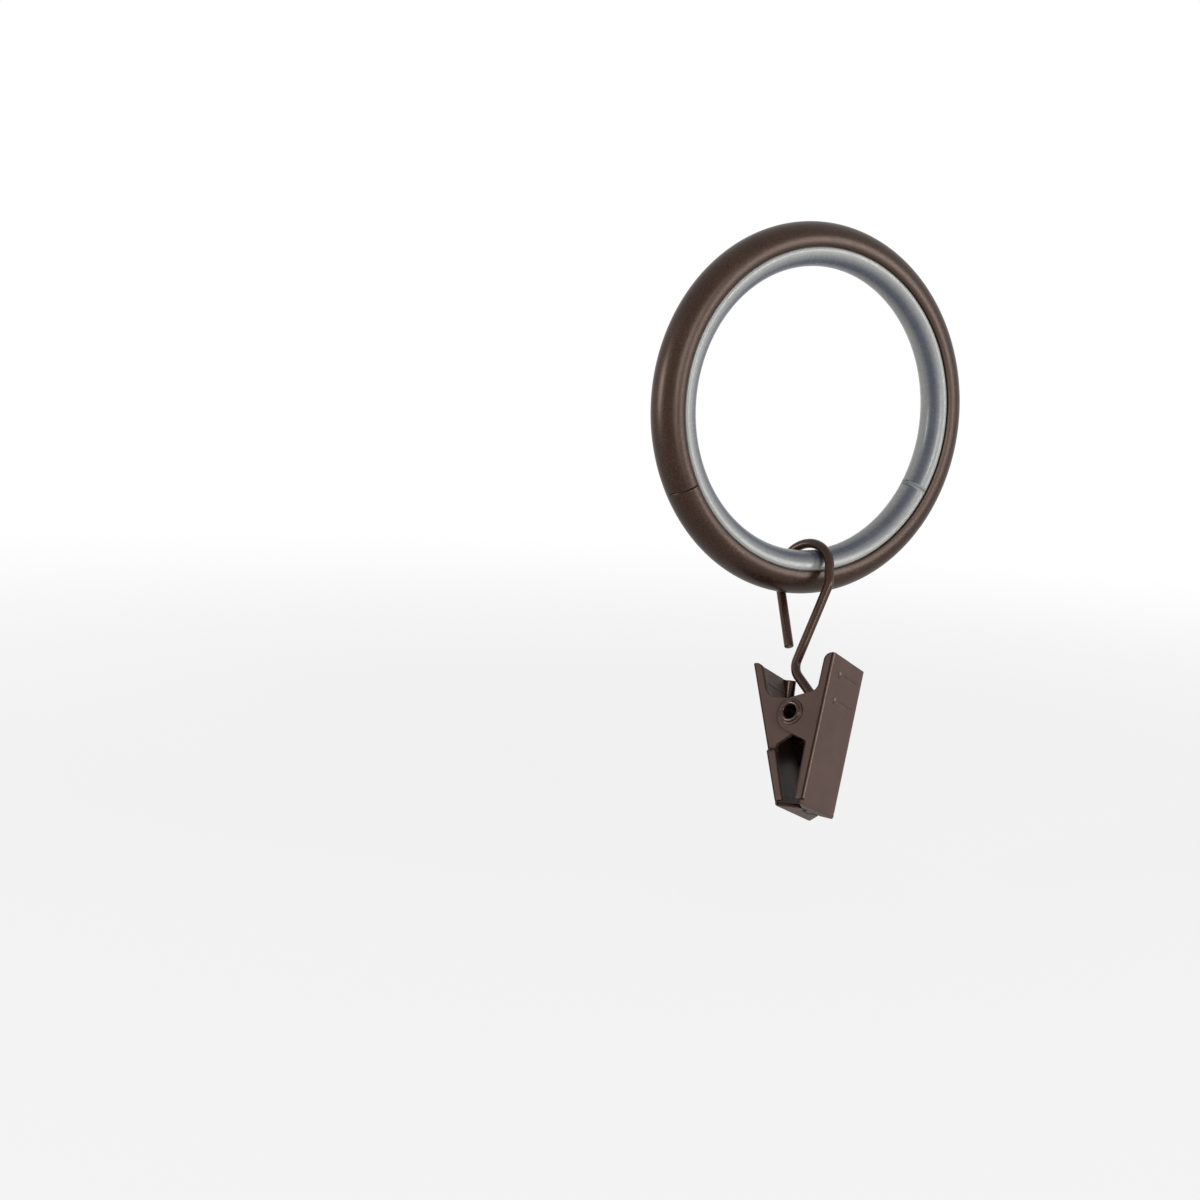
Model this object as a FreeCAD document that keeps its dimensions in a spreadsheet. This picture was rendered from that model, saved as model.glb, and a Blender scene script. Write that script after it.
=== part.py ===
"""Curtain ring with a swinging spring clip.

Frame: the ring stands in the XZ plane, its centre is the origin and its axis is Y.
The wire hook hangs on the bottom of the ring and carries the clip. Sizes are in
millimetres and degrees.
"""
import FreeCAD, Part
import math
import os
import Sketcher

Vector = FreeCAD.Vector
ORIGIN = Vector(0, 0, 0)
SAME_PLACE = 1e-4

DRIVING_SIZES = [
    ("ring_outer_dia", 50.8, "outside of the metal ring"),
    ("tube_dia", 5.0, "round section of the metal ring"),
    ("ring_wall", 0.5, "rolled strip of the metal ring"),
    ("mouth_half_angle", 67.0, "half the open mouth of the rolled section"),
    ("seam_gap", 0.1, "butt seam of the metal ring"),
    ("seam_angle", 62.0, "seam, from the bottom of the ring towards -X"),
    ("liner_stand", 1.0, "liner's dome past the metal tube, towards the ring's centre"),
    ("dome_inset", 0.3, "liner's dome inside the tube's width, on each side"),
    ("liner_gap", 0.03, "clearance between liner and metal"),
    ("liner_slit", 0.2, "slit where the liner's ends meet"),
    ("liner_slit_angle", 60.0, "slit, from the bottom of the ring towards +X"),
    ("wire_dia", 1.3, "hook wire"),
    ("arch_play", 0.5, "hook's arch clear of the ring's section, seen square on"),
    ("free_leg_angle", 11.0, "free leg, inwards from straight down"),
    ("free_leg_length", 9.9, "free leg below the arch"),
    ("stem_drop", 2.5, "straight stem below the arch's centre"),
    ("stem_angle", 26.0, "stem, inwards from straight down"),
    ("stem_bend_radius", 2.0, "bend at the top of the leaning stem"),
    ("waist_drop", 13.84, "corner of the waist below the arch's centre"),
    ("waist_bend_radius", 2.3, "bend at the waist"),
    ("eye_drop", 20.7, "pivot below the arch's centre"),
    ("eye_radius", 3.05, "centre line of the hook's eye"),
    ("eye_turn_angle", 228.0, "turn of the wire round the eye"),
    ("eye_tilt_angle", 12.0, "sideways lean of the eye"),
    ("tail_length", 5.2, "straight end of the eye"),
    ("hang_yaw_angle", 24.4, "clip turned about Z below the ring"),
    ("hang_pitch_angle", 23.6, "clip tipped sideways below the ring"),
    ("hang_roll_angle", -15.1, "clip and hook swung on the ring"),
    ("eye_skew_angle", 8.0, "hook turned on the pin, in the play of its eye"),
    ("eye_offset", 2.0, "middle of the clip beside the hook, along the pin"),
    ("clip_width", 9.9, "clip along the pin"),
    ("sheet", 0.5, "pressed sheet of the jaws"),
    ("ear_gap", 0.05, "play between overlapping ears"),
    ("bend_radius", 0.4, "outer radius of the sheet's bends"),
    ("handle_height", 7.5, "top of the handles above the pivot"),
    ("handle_spread", 6.2, "back of a handle from the middle, at its top"),
    ("tip_drop", 12.35, "jaw tips below the pivot"),
    ("tip_spread", 1.95, "back of a jaw from the middle, at its tip"),
    ("handle_flange", 1.36, "side flange of a handle"),
    ("handle_round", 1.1, "rounded top of a handle's side flange"),
    ("leg_flange_top", 1.46, "side flange of a jaw just below its ear"),
    ("leg_flange_tip", 1.24, "side flange of a jaw at its lip"),
    ("ear_radius", 2.35, "round end of an ear"),
    ("ear_shift", 0.25, "centre of the round end from the middle"),
    ("ear_lift", 0.35, "centre of the round end below the pivot"),
    ("ear_begin_angle", 99.5, "start of the ear's round"),
    ("ear_end_angle", 240.0, "end of the ear's round"),
    ("ear_top_height", 2.62, "ear's upper edge where it meets the handle"),
    ("ear_sweep_radius", 1.2, "hollow curve from ear to handle on the outer jaw"),
    ("inner_sweep_radius", 2.1, "the same curve on the inner jaw"),
    ("ear_foot_drop", 4.1, "ear's lower edge where it meets the leg"),
    ("ear_foot_radius", 0.5, "hollow curve from ear to leg"),
    ("flange_slot", 0.25, "slot between side flange and lip"),
    ("lip_meet", 0.45, "line where the lips meet, towards the outer jaw"),
    ("tooth_reach", 0.3, "teeth past the line where the lips meet"),
    ("tooth_gap", 0.12, "play round the teeth"),
    ("tooth_count", 5.0, "teeth of both lips together"),
    ("joggle_drop", 4.6, "step of the inner jaw's sides below the pivot"),
    ("joggle_height", 0.5, "height of that step"),
    ("barrel_dia", 2.5, "rivet barrel"),
    ("barrel_bore", 1.85, "hole through the rivet"),
    ("barrel_fit", 0.04, "radial play of the rivet in the ears"),
    ("rim_dia", 3.5, "rolled rims of the rivet"),
    ("rim_height", 0.4, "rolled rims above the ears"),
    ("rim_play", 0.01, "rolled rims clear of the ears"),
    ("spring_wire", 0.6, "spring wire"),
    ("spring_play", 0.07, "radial play of the coil on the rivet"),
    ("spring_turn_count", 6.0, "whole turns of the coil"),
    ("spring_side_gap", 1.1, "centre line of the coil's last turn from the ear"),
    ("spring_leg", 6.4, "legs of the spring"),
    ("spring_leg_angle", 30.0, "legs, outwards from straight up"),
    ("grip_near", 3.7, "grip groove's start from the clip's side"),
    ("grip_far", 8.4, "grip groove's end from the same side"),
    ("grip_first", 2.2, "first grip groove below the handle's top"),
    ("grip_pitch", 3.45, "from the first grip groove to the second"),
    ("grip_depth", 0.1, "depth of a grip groove"),
    ("grip_radius", 0.3, "round of a grip groove's cutter"),
    ("pip_near", 2.75, "raised pip from the clip's side"),
    ("pip_radius", 0.45, "ball radius of a pip"),
    ("pip_height", 0.14, "height of a pip"),
]

DERIVED_SIZES = [
    ("tube_radius", "tube_dia / 2"),
    ("tube_centre", "ring_outer_dia / 2 - tube_dia / 2"),
    ("section_depth", "tube_dia + liner_stand"),
    ("section_middle", "ring_outer_dia / 2 - section_depth / 2"),
    ("bore_dia", "ring_outer_dia - 2 * section_depth"),
    ("dome_half", "tube_dia / 2 - dome_inset"),
    ("arch_radius", "section_depth / 2 + wire_dia / 2 + arch_play"),
    ("channel_radius", "tube_dia / 2 - ring_wall - liner_gap"),
    ("plate_slope", "(handle_spread - tip_spread) / (handle_height + tip_drop)"),
    ("plate_across", "sheet * sqrt(1 + plate_slope * plate_slope)"),
    ("half_width", "clip_width / 2"),
    ("inner_width", "clip_width - 2 * sheet"),
    ("nested_width", "clip_width - 2 * sheet - 2 * ear_gap"),
    ("flange_end", "tip_drop - sheet - flange_slot"),
    ("tooth_pitch", "clip_width / tooth_count"),
    ("hole_radius", "barrel_dia / 2 + barrel_fit"),
    ("coil_radius", "barrel_dia / 2 + spring_play + spring_wire / 2"),
    ("spring_length", "nested_width - 2 * sheet - 2 * spring_side_gap"),
]


def make_sheet(document):
    """Write every size into the document's sheet and give each cell its alias."""
    sheet = document.addObject("Spreadsheet::Sheet", "Sizes")
    row = 1
    for alias, value, note in DRIVING_SIZES:
        sheet.set(f"A{row}", note)
        sheet.set(f"B{row}", str(value))
        sheet.setAlias(f"B{row}", alias)
        row += 1
    for alias, formula in DERIVED_SIZES:
        sheet.set(f"A{row}", alias.replace("_", " "))
        sheet.set(f"B{row}", "=" + formula)
        sheet.setAlias(f"B{row}", alias)
        row += 1
    document.recompute()
    return sheet


def on_sheet(text):
    """Turn a formula of aliases into one that other objects can hold."""
    names = [entry[0] for entry in DRIVING_SIZES + DERIVED_SIZES]
    words = []
    word = ""
    for letter in text + " ":
        if letter.isalnum() or letter == "_":
            word += letter
            continue
        words.append("Sizes." + word if word in names else word)
        words.append(letter)
        word = ""
    return "".join(words).strip()


def size(text):
    """Value of a formula of aliases."""
    return float(DOCUMENT.Sizes.evalExpression(on_sheet(text)))


def bind(feature, **formulas):
    """Set properties of a feature from formulas of aliases."""
    for name, text in formulas.items():
        feature.setExpression(name, on_sheet(text))


def origin_plane(body, role):
    """Origin plane of a body, found by its role."""
    return [item for item in body.Origin.OriginFeatures if item.Role == role][0]


def new_body(label):
    """Empty body with its own label."""
    body = DOCUMENT.addObject("PartDesign::Body", label)
    body.Label = label
    return body


def new_sketch(body, name, role):
    """Sketch on one of the body's origin planes."""
    sketch = body.newObject("Sketcher::SketchObject", name)
    sketch.AttachmentSupport = [(origin_plane(body, role), "")]
    sketch.MapMode = "FlatFace"
    return sketch


def place_corner(sketch, edge, end, corner):
    """Tie one end of a sketch edge to the formulas of its corner."""
    for kind, text in zip(("DistanceX", "DistanceY"), corner):
        number = sketch.addConstraint(
            Sketcher.Constraint(kind, -1, 1, edge, end, size(text)))
        sketch.setExpression(f"Constraints[{number}]", on_sheet(text))


def arc_through(start, stop, radius, side):
    """Shorter arc between two points, with its centre on the given side of the chord."""
    chord = stop - start
    across = Vector(-chord.y, chord.x, 0).normalize() * side
    reach = math.sqrt(max(radius * radius - (chord.Length / 2) ** 2, 0))
    middle = (start + stop) / 2 + across * (reach - radius)
    return Part.Arc(start, middle, stop)


def outline(body, name, role, corners):
    """Closed outline whose corners are formulas.

    A corner is (x, y) where a straight edge leaves it, and (x, y, radius, side) where
    an arc leaves it: side is 1 with the arc's centre on the left, -1 on the right.
    """
    sketch = new_sketch(body, name, role)
    points = [Vector(size(corner[0]), size(corner[1]), 0) for corner in corners]
    count = len(corners)
    for index, corner in enumerate(corners):
        start = points[index]
        stop = points[(index + 1) % count]
        if len(corner) == 2:
            sketch.addGeometry(Part.LineSegment(start, stop), False)
        else:
            sketch.addGeometry(arc_through(start, stop, size(corner[2]), corner[3]), False)
    ends = [edge_ends(sketch, index, points[index]) for index in range(count)]
    for index in range(count):
        following = (index + 1) % count
        sketch.addConstraint(Sketcher.Constraint(
            "Coincident", index, ends[index][1], following, ends[following][0]))
    for index, corner in enumerate(corners):
        place_corner(sketch, index, ends[index][0], corner[:2])
        if len(corner) == 4:
            number = sketch.addConstraint(
                Sketcher.Constraint("Radius", index, size(corner[2])))
            sketch.setExpression(f"Constraints[{number}]", on_sheet(corner[2]))
    return sketch


def edge_ends(sketch, edge, start):
    """Which end of a sketch edge lies at the start point, and which at the other."""
    if sketch.getPoint(edge, 1).distanceToPoint(start) < SAME_PLACE:
        return 1, 2
    return 2, 1


def circle_sketch(body, name, role, radius, centre=("0", "0")):
    """Sketch of one circle."""
    sketch = new_sketch(body, name, role)
    middle = Vector(size(centre[0]), size(centre[1]), 0)
    sketch.addGeometry(Part.Circle(middle, Vector(0, 0, 1), size(radius)), False)
    place_corner(sketch, 0, 3, centre)
    number = sketch.addConstraint(Sketcher.Constraint("Radius", 0, size(radius)))
    sketch.setExpression(f"Constraints[{number}]", on_sheet(radius))
    return sketch


def feature(body, kind, name, sketch, length=None):
    """Pad or pocket of a sketch to both sides of its plane."""
    item = body.newObject(f"PartDesign::{kind}", name)
    item.Profile = sketch
    item.Midplane = True
    if length is None:
        item.Type = "ThroughAll"
    else:
        bind(item, Length=length)
    return item


def turned(body, name, sketch, axis, angle):
    """Revolution of a sketch about one of its own axes."""
    item = body.newObject("PartDesign::Revolution", name)
    item.Profile = sketch
    item.ReferenceAxis = (sketch, [axis])
    bind(item, Angle=angle)
    return item


def rounded(body, name, radius, chosen):
    """Fillet of the edges that a test picks on the body as it stands."""
    DOCUMENT.recompute()
    base = body.Tip
    names = [f"Edge{index + 1}" for index, edge in enumerate(base.Shape.Edges) if chosen(edge)]
    item = body.newObject("PartDesign::Fillet", name)
    item.Base = (base, names)
    bind(item, Radius=radius)
    return item


def section_point(radius, angle):
    """Point of the ring's section at an angle from the direction to the ring's centre."""
    return (f"(tube_centre - {radius} * cos({angle}))", f"({radius} * sin({angle}))")


def build_metal_ring():
    """Strip rolled to a round section that is open towards the ring's centre."""
    body = new_body("metal_ring")
    outer = section_point("tube_radius", "mouth_half_angle")
    inner = section_point("(tube_radius - ring_wall)", "mouth_half_angle")
    corners = [
        inner,
        (outer[0], outer[1], "tube_radius", -1),
        ("(tube_centre + tube_radius)", "0", "tube_radius", -1),
        (outer[0], f"-{outer[1]}"),
        (inner[0], f"-{inner[1]}", "(tube_radius - ring_wall)", 1),
        ("(tube_centre + tube_radius - ring_wall)", "0", "(tube_radius - ring_wall)", 1),
    ]
    section = outline(body, "ring_section", "XY_Plane", corners)
    turned(body, "rolled_ring", section, "V_Axis",
           "360 - 360 * seam_gap / (pi * ring_outer_dia)")
    bind(body, Placement="create(<<placement>>; create(<<vector>>; 0; 0; 0);"
                         " create(<<rotation>>; create(<<vector>>; 0; 1; 0);"
                         " 90 + seam_angle))")
    return body


def build_ring_liner():
    """Plastic strip that fills the rolled ring and stands out of its mouth as a dome."""
    body = new_body("ring_liner")
    shoulder = "(tube_centre - tube_radius * cos(mouth_half_angle) - liner_gap)"
    neck = "((tube_radius - ring_wall) * sin(mouth_half_angle) - liner_gap)"
    throat = f"(tube_centre - sqrt(channel_radius ^ 2 - {neck} ^ 2))"
    dome = f"((dome_half ^ 2 + ({shoulder} - bore_dia / 2) ^ 2)" \
           f" / (2 * ({shoulder} - bore_dia / 2)))"
    corners = [
        (shoulder, "dome_half", dome, 1),
        ("bore_dia / 2", "0", dome, 1),
        (shoulder, "-dome_half"),
        (shoulder, f"-{neck}"),
        (throat, f"-{neck}", "channel_radius", 1),
        ("tube_centre + channel_radius", "0", "channel_radius", 1),
        (throat, neck),
        (shoulder, neck),
    ]
    section = outline(body, "liner_section", "XY_Plane", corners)
    turned(body, "liner_strip", section, "V_Axis",
           "360 - 360 * liner_slit / (pi * bore_dia)")
    bind(body, Placement="create(<<placement>>; create(<<vector>>; 0; 0; 0);"
                         " create(<<rotation>>; create(<<vector>>; 0; 1; 0);"
                         " 90 - liner_slit_angle))")
    return body


def bent_route(points, radii):
    """Straight runs through the points, with a tangent arc at each inner point."""
    edges = []
    last = points[0]
    for index in range(1, len(points) - 1):
        corner = points[index]
        inward = (corner - points[index - 1]).normalize()
        onward = (points[index + 1] - corner).normalize()
        turn = inward.getAngle(onward)
        reach = radii[index - 1] * math.tan(turn / 2)
        begin = corner - inward * reach
        end = corner + onward * reach
        bisector = (onward - inward).normalize()
        middle = corner + bisector * (radii[index - 1] / math.cos(turn / 2) - radii[index - 1])
        edges.append(Part.LineSegment(last, begin).toShape())
        edges.append(Part.Arc(begin, middle, end).toShape())
        last = end
    edges.append(Part.LineSegment(last, points[-1]).toShape())
    return edges


def turned_about(point, centre, axis, degrees):
    """Point turned about an axis through a centre."""
    return centre + FreeCAD.Rotation(axis, degrees).multVec(point - centre)


def hook_route():
    """Centre line of the hook wire, in the plane across the pin, from its free end.

    The arch's centre is the origin. The free leg is on the +Y side and the stem on the
    -Y side. The eye is a circle about the pin, in a plane leaned about the wire that
    leads into it.
    """
    arch = size("arch_radius")
    lean = math.radians(size("free_leg_angle"))
    leg_top = Vector(0, math.cos(lean), -math.sin(lean)) * arch
    leg_end = leg_top + Vector(0, -math.sin(lean), -math.cos(lean)) * size("free_leg_length")
    arch_end = Vector(0, -arch, 0)
    edges = [
        Part.LineSegment(leg_end, leg_top).toShape(),
        Part.Arc(leg_top, Vector(0, 0, arch), arch_end).toShape(),
    ]
    stem_corner = Vector(0, -arch, -size("stem_drop"))
    fall = size("waist_drop - stem_drop")
    waist = stem_corner + Vector(0, fall * math.tan(math.radians(size("stem_angle"))), -fall)
    pivot = Vector(0, 0, -size("eye_drop"))
    to_pivot = pivot - waist
    half_angle = math.asin(size("eye_radius") / to_pivot.Length)
    run = to_pivot.Length * math.cos(half_angle)
    heading = FreeCAD.Rotation(Vector(1, 0, 0), -math.degrees(half_angle)).multVec(to_pivot)
    heading.normalize()
    eye_start = waist + heading * run
    edges += bent_route([arch_end, stem_corner, waist, eye_start],
                        [size("stem_bend_radius"), size("waist_bend_radius")])
    turn = size("eye_turn_angle")
    eye_middle = turned_about(eye_start, pivot, Vector(1, 0, 0), turn / 2)
    eye_stop = turned_about(eye_start, pivot, Vector(1, 0, 0), turn)
    tail = FreeCAD.Rotation(Vector(1, 0, 0), turn).multVec(heading)
    tail_end = eye_stop + tail * size("tail_length")
    leaned = [turned_about(point, eye_start, heading, size("eye_tilt_angle"))
              for point in (eye_middle, eye_stop, tail_end)]
    edges.append(Part.Arc(eye_start, leaned[0], leaned[1]).toShape())
    edges.append(Part.LineSegment(leaned[1], leaned[2]).toShape())
    return Part.Wire(edges)


HANG_ROTATION = "create(<<rotation>>; hang_yaw_angle; hang_pitch_angle; hang_roll_angle)"
HOOK_PLACEMENT = ("create(<<placement>>; create(<<vector>>; 0; 0; -section_middle);"
                  f" {HANG_ROTATION} * create(<<rotation>>; -eye_skew_angle; 0; 0))")
CLIP_PLACEMENT = ("create(<<placement>>; create(<<vector>>; 0; 0; -section_middle)"
                  f" + {HANG_ROTATION} * create(<<vector>>; eye_offset; 0; -eye_drop);"
                  f" {HANG_ROTATION})")


def swept_wire(name, route, radius, placement):
    """Round wire of one thickness along a route."""
    line = DOCUMENT.addObject("Part::Feature", f"{name}_route")
    line.Shape = route
    first = route.Edges[0]
    profile = DOCUMENT.addObject("Part::Circle", f"{name}_profile")
    bind(profile, Radius=radius)
    profile.Placement = FreeCAD.Placement(
        first.valueAt(first.FirstParameter),
        FreeCAD.Rotation(Vector(0, 0, 1), first.tangentAt(first.FirstParameter)))
    wire = DOCUMENT.addObject("Part::Sweep", name)
    wire.Label = name
    wire.Sections = [profile]
    wire.Spine = (line, [f"Edge{index + 1}" for index in range(len(route.Edges))])
    wire.Solid = True
    wire.Frenet = False
    wire.Transition = "Transformed"
    bind(wire, Placement=placement)
    return wire


def build_hook_wire():
    """One bent wire: free leg, arch over the ring, stem, waist and eye."""
    return swept_wire("hook_wire", hook_route(), "wire_dia / 2", HOOK_PLACEMENT)


def plate_at(height, inset="0"):
    """Formula for the outer face of a jaw's plate at a height above the pivot."""
    return f"(tip_spread + plate_slope * (({height}) + tip_drop) - ({inset}))"


def mirrored(corners, side):
    """Corners as given for side 1, or mirrored in the clip's middle plane for side -1."""
    if side == 1:
        return corners
    flipped = []
    for corner in corners:
        arc = () if len(corner) == 2 else (corner[2], -corner[3])
        flipped.append((f"-({corner[0]})", corner[1]) + arc)
    return flipped


def ear_point(angle):
    """Point on the ear's round at an angle, anticlockwise from the jaw's own side."""
    return (f"(ear_shift + ear_radius * cos({angle}))",
            f"(ear_radius * sin({angle}) - ear_lift)")


def flange_corners():
    """Side outline of a jaw with its plate at +Y: handle flange, ear and leg flange."""
    round_start = ear_point("ear_begin_angle")
    round_middle = ear_point("180")
    return [
        (plate_at("handle_height"), "handle_height"),
        (plate_at("handle_height", "handle_flange"), "handle_height"),
        (plate_at("ear_top_height", "handle_flange"), "ear_top_height"),
        (round_start[0], round_start[1], "ear_radius", 1),
        (round_middle[0], round_middle[1], "ear_radius", 1),
        ear_point("ear_end_angle"),
        (plate_at("-ear_foot_drop", "leg_flange_top"), "-ear_foot_drop"),
        (plate_at("-flange_end", "leg_flange_tip"), "-flange_end"),
        (plate_at("-flange_end"), "-flange_end"),
    ]


def across_pin(corner, side):
    """Test for the edges that run along the pin through a corner of the outline."""
    place = Vector(0, side * size(corner[0]), size(corner[1]))

    def chosen(edge):
        ends = [vertex.Point for vertex in edge.Vertexes]
        return all(Vector(0, end.y, end.z).distanceToPoint(place) < SAME_PLACE for end in ends)

    return chosen


def add_flanges(body, side, sweep_radius):
    """Side flanges as one block across the clip, with their outline's curves."""
    corners = flange_corners()
    sketch = outline(body, "flange_outline", "YZ_Plane", mirrored(corners, side))
    feature(body, "Pad", "flanges", sketch, "clip_width")
    rounded(body, "handle_curve", "handle_round", across_pin(corners[1], side))
    rounded(body, "ear_sweep", sweep_radius, across_pin(corners[2], side))
    rounded(body, "ear_foot", "ear_foot_radius", across_pin(corners[6], side))


def box_corners(low_x, high_x, low_y, high_y):
    """Corners of a rectangle."""
    return [(low_x, low_y), (high_x, low_y), (high_x, high_y), (low_x, high_y)]


def hollow_corners(low, high):
    """Region on the inner side of a jaw's plate between two heights."""
    beyond = "-2 * handle_spread"
    return [(plate_at(high, "plate_across"), high), (beyond, high), (beyond, low),
            (plate_at(low, "plate_across"), low)]


def add_plate(body, side):
    """Sloping back plate and the lip folded in at its foot."""
    plate = [(plate_at("handle_height"), "handle_height"),
             (plate_at("handle_height", "plate_across"), "handle_height"),
             (plate_at("-tip_drop", "plate_across"), "-tip_drop"),
             (plate_at("-tip_drop"), "-tip_drop")]
    sketch = outline(body, "plate_outline", "YZ_Plane", mirrored(plate, side))
    feature(body, "Pad", "plate", sketch, "clip_width")


def add_lip(body, side, meet):
    """Lip with its teeth, which reach past the line where the two lips meet."""
    root = f"({meet} + tooth_reach + tooth_gap / 2)"
    crest = f"({meet} - tooth_reach + tooth_gap / 2)"
    top = "(sheet - tip_drop)"
    lip = box_corners(root, plate_at("-tip_drop", "plate_across / 2"), "-tip_drop", top)
    sketch = outline(body, "lip_outline", "YZ_Plane", mirrored(lip, side))
    feature(body, "Pad", "lip", sketch, "clip_width")
    tooth = box_corners(crest, f"{root} + sheet / 2", "-tip_drop", top)
    number = 0
    for position in tooth_positions(side):
        number += 1
        add_tooth(body, f"tooth_{number}", mirrored(tooth, side), position)


def tooth_positions(side):
    """Places of one lip's teeth along the pin, counted in tooth pitches."""
    count = int(round(size("tooth_count")))
    first = 0 if side == -1 else 1
    return [index - (count - 1) / 2 for index in range(first, count, 2)]


def add_tooth(body, name, corners, position):
    """One tooth, padded across its own stretch of the lip."""
    sketch = outline(body, f"{name}_outline", "YZ_Plane", corners)
    bind(sketch, **{"AttachmentOffset.Base.z": f"({position}) * tooth_pitch"})
    feature(body, "Pad", name, sketch, "tooth_pitch - 2 * tooth_gap")


def is_fold(side):
    """Test for the outer long edges of a jaw and the fold at its foot."""
    slope = size("plate_slope")
    half = size("half_width")
    nested = size("nested_width / 2")
    foot = -size("tip_drop")
    spread = size("tip_spread")

    def chosen(edge):
        if not isinstance(edge.Curve, Part.Line):
            return False
        ends = [vertex.Point for vertex in edge.Vertexes]
        on_plate = all(abs(side * end.y - spread - slope * (end.z - foot)) < SAME_PLACE
                       for end in ends)
        on_side = any(all(abs(abs(end.x) - width) < SAME_PLACE for end in ends)
                      for width in (half, nested))
        along = abs(ends[0].x - ends[1].x) < SAME_PLACE
        at_foot = all(abs(end.z - foot) < SAME_PLACE for end in ends)
        return on_plate and ((on_side and along) or at_foot)

    return chosen


def add_grips(body, side):
    """Two pressed grooves across the handle, each with a raised pip beside it."""
    for number in (0, 1):
        height = f"(handle_height - grip_first - {number} * grip_pitch)"
        groove = body.newObject("PartDesign::SubtractiveCylinder", f"grip_groove_{number + 1}")
        bind(groove, Radius="grip_radius", Height="grip_far - grip_near")
        face = plate_at(height)
        groove.Placement.Rotation = FreeCAD.Rotation(Vector(0, 1, 0), 90)
        bind(groove, **{"Placement.Base.x": "grip_near - half_width",
                        "Placement.Base.y": f"{side} * ({face} + grip_radius - grip_depth)",
                        "Placement.Base.z": height})
        pip = body.newObject("PartDesign::AdditiveSphere", f"grip_pip_{number + 1}")
        bind(pip, Radius="pip_radius")
        bind(pip, **{"Placement.Base.x": "pip_near - half_width",
                     "Placement.Base.y": f"{side} * ({face} - pip_radius + pip_height)",
                     "Placement.Base.z": height})


def add_rivet_hole(body):
    """Hole for the rivet through both ears."""
    sketch = circle_sketch(body, "rivet_hole_circle", "YZ_Plane", "hole_radius")
    feature(body, "Pocket", "rivet_hole", sketch)


def build_outer_jaw():
    """Jaw whose ears lie outside, with its plate on the -Y side."""
    side = -1
    body = new_body("outer_jaw")
    add_flanges(body, side, "ear_sweep_radius")
    hollow = outline(body, "hollow_outline", "YZ_Plane",
                     mirrored(hollow_corners("-tip_drop - sheet", "handle_height + sheet"), side))
    feature(body, "Pocket", "hollow", hollow, "inner_width")
    add_plate(body, side)
    add_lip(body, side, "lip_meet")
    rounded(body, "folds", "bend_radius", is_fold(side))
    add_rivet_hole(body)
    add_grips(body, side)
    bind(body, Placement=CLIP_PLACEMENT)
    return body


def add_joggle(body):
    """Take the sides in above the step, so that the ears nest in the outer jaw."""
    step = "-joggle_drop"
    low = "-joggle_drop - joggle_height"
    for sign, name in ((1, "right"), (-1, "left")):
        corners = [(f"{sign} * nested_width / 2", step),
                   (f"{sign} * (half_width + sheet)", low),
                   (f"{sign} * clip_width", low),
                   (f"{sign} * clip_width", "2 * handle_height"),
                   (f"{sign} * nested_width / 2", "2 * handle_height")]
        sketch = outline(body, f"joggle_{name}_outline", "XZ_Plane", corners)
        feature(body, "Pocket", f"joggle_{name}", sketch)


def build_inner_jaw():
    """Jaw whose ears lie inside, with its plate on the +Y side and stepped sides."""
    side = 1
    body = new_body("inner_jaw")
    add_flanges(body, side, "inner_sweep_radius")
    add_plate(body, side)
    add_joggle(body)
    upper = outline(body, "upper_hollow_outline", "YZ_Plane",
                    mirrored(hollow_corners("-joggle_drop - joggle_height",
                                            "handle_height + sheet"), side))
    feature(body, "Pocket", "upper_hollow", upper, "nested_width - 2 * sheet")
    lower = outline(body, "lower_hollow_outline", "YZ_Plane",
                    mirrored(hollow_corners("-tip_drop - sheet",
                                            "-joggle_drop - joggle_height"), side))
    feature(body, "Pocket", "lower_hollow", lower, "inner_width")
    add_lip(body, side, "-lip_meet")
    rounded(body, "folds", "bend_radius", is_fold(side))
    add_rivet_hole(body)
    add_grips(body, side)
    bind(body, Placement=CLIP_PLACEMENT)
    return body


def build_pivot_rivet():
    """Tubular rivet through the ears, with a rolled rim at each end."""
    body = new_body("pivot_rivet")
    reach = "(half_width + rim_height)"
    rim = "rim_dia / 2"
    seat = "(half_width + rim_play)"
    corners = [
        (f"-{reach} + rim_height / 2", "barrel_bore / 2"),
        (f"{reach} - rim_height / 2", "barrel_bore / 2", "rim_height / 2", -1),
        (reach, "barrel_bore / 2 + rim_height / 2"),
        (reach, f"{rim} - rim_height", "rim_height", -1),
        (seat, rim),
        (seat, "barrel_dia / 2"),
        (f"-{seat}", "barrel_dia / 2"),
        (f"-{seat}", rim, "rim_height", -1),
        (f"-{reach}", f"{rim} - rim_height"),
        (f"-{reach}", "barrel_bore / 2 + rim_height / 2", "rim_height / 2", -1),
    ]
    section = outline(body, "rivet_section", "XY_Plane", corners)
    turned(body, "rivet", section, "H_Axis", "360")
    bind(body, Placement=CLIP_PLACEMENT)
    return body


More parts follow.
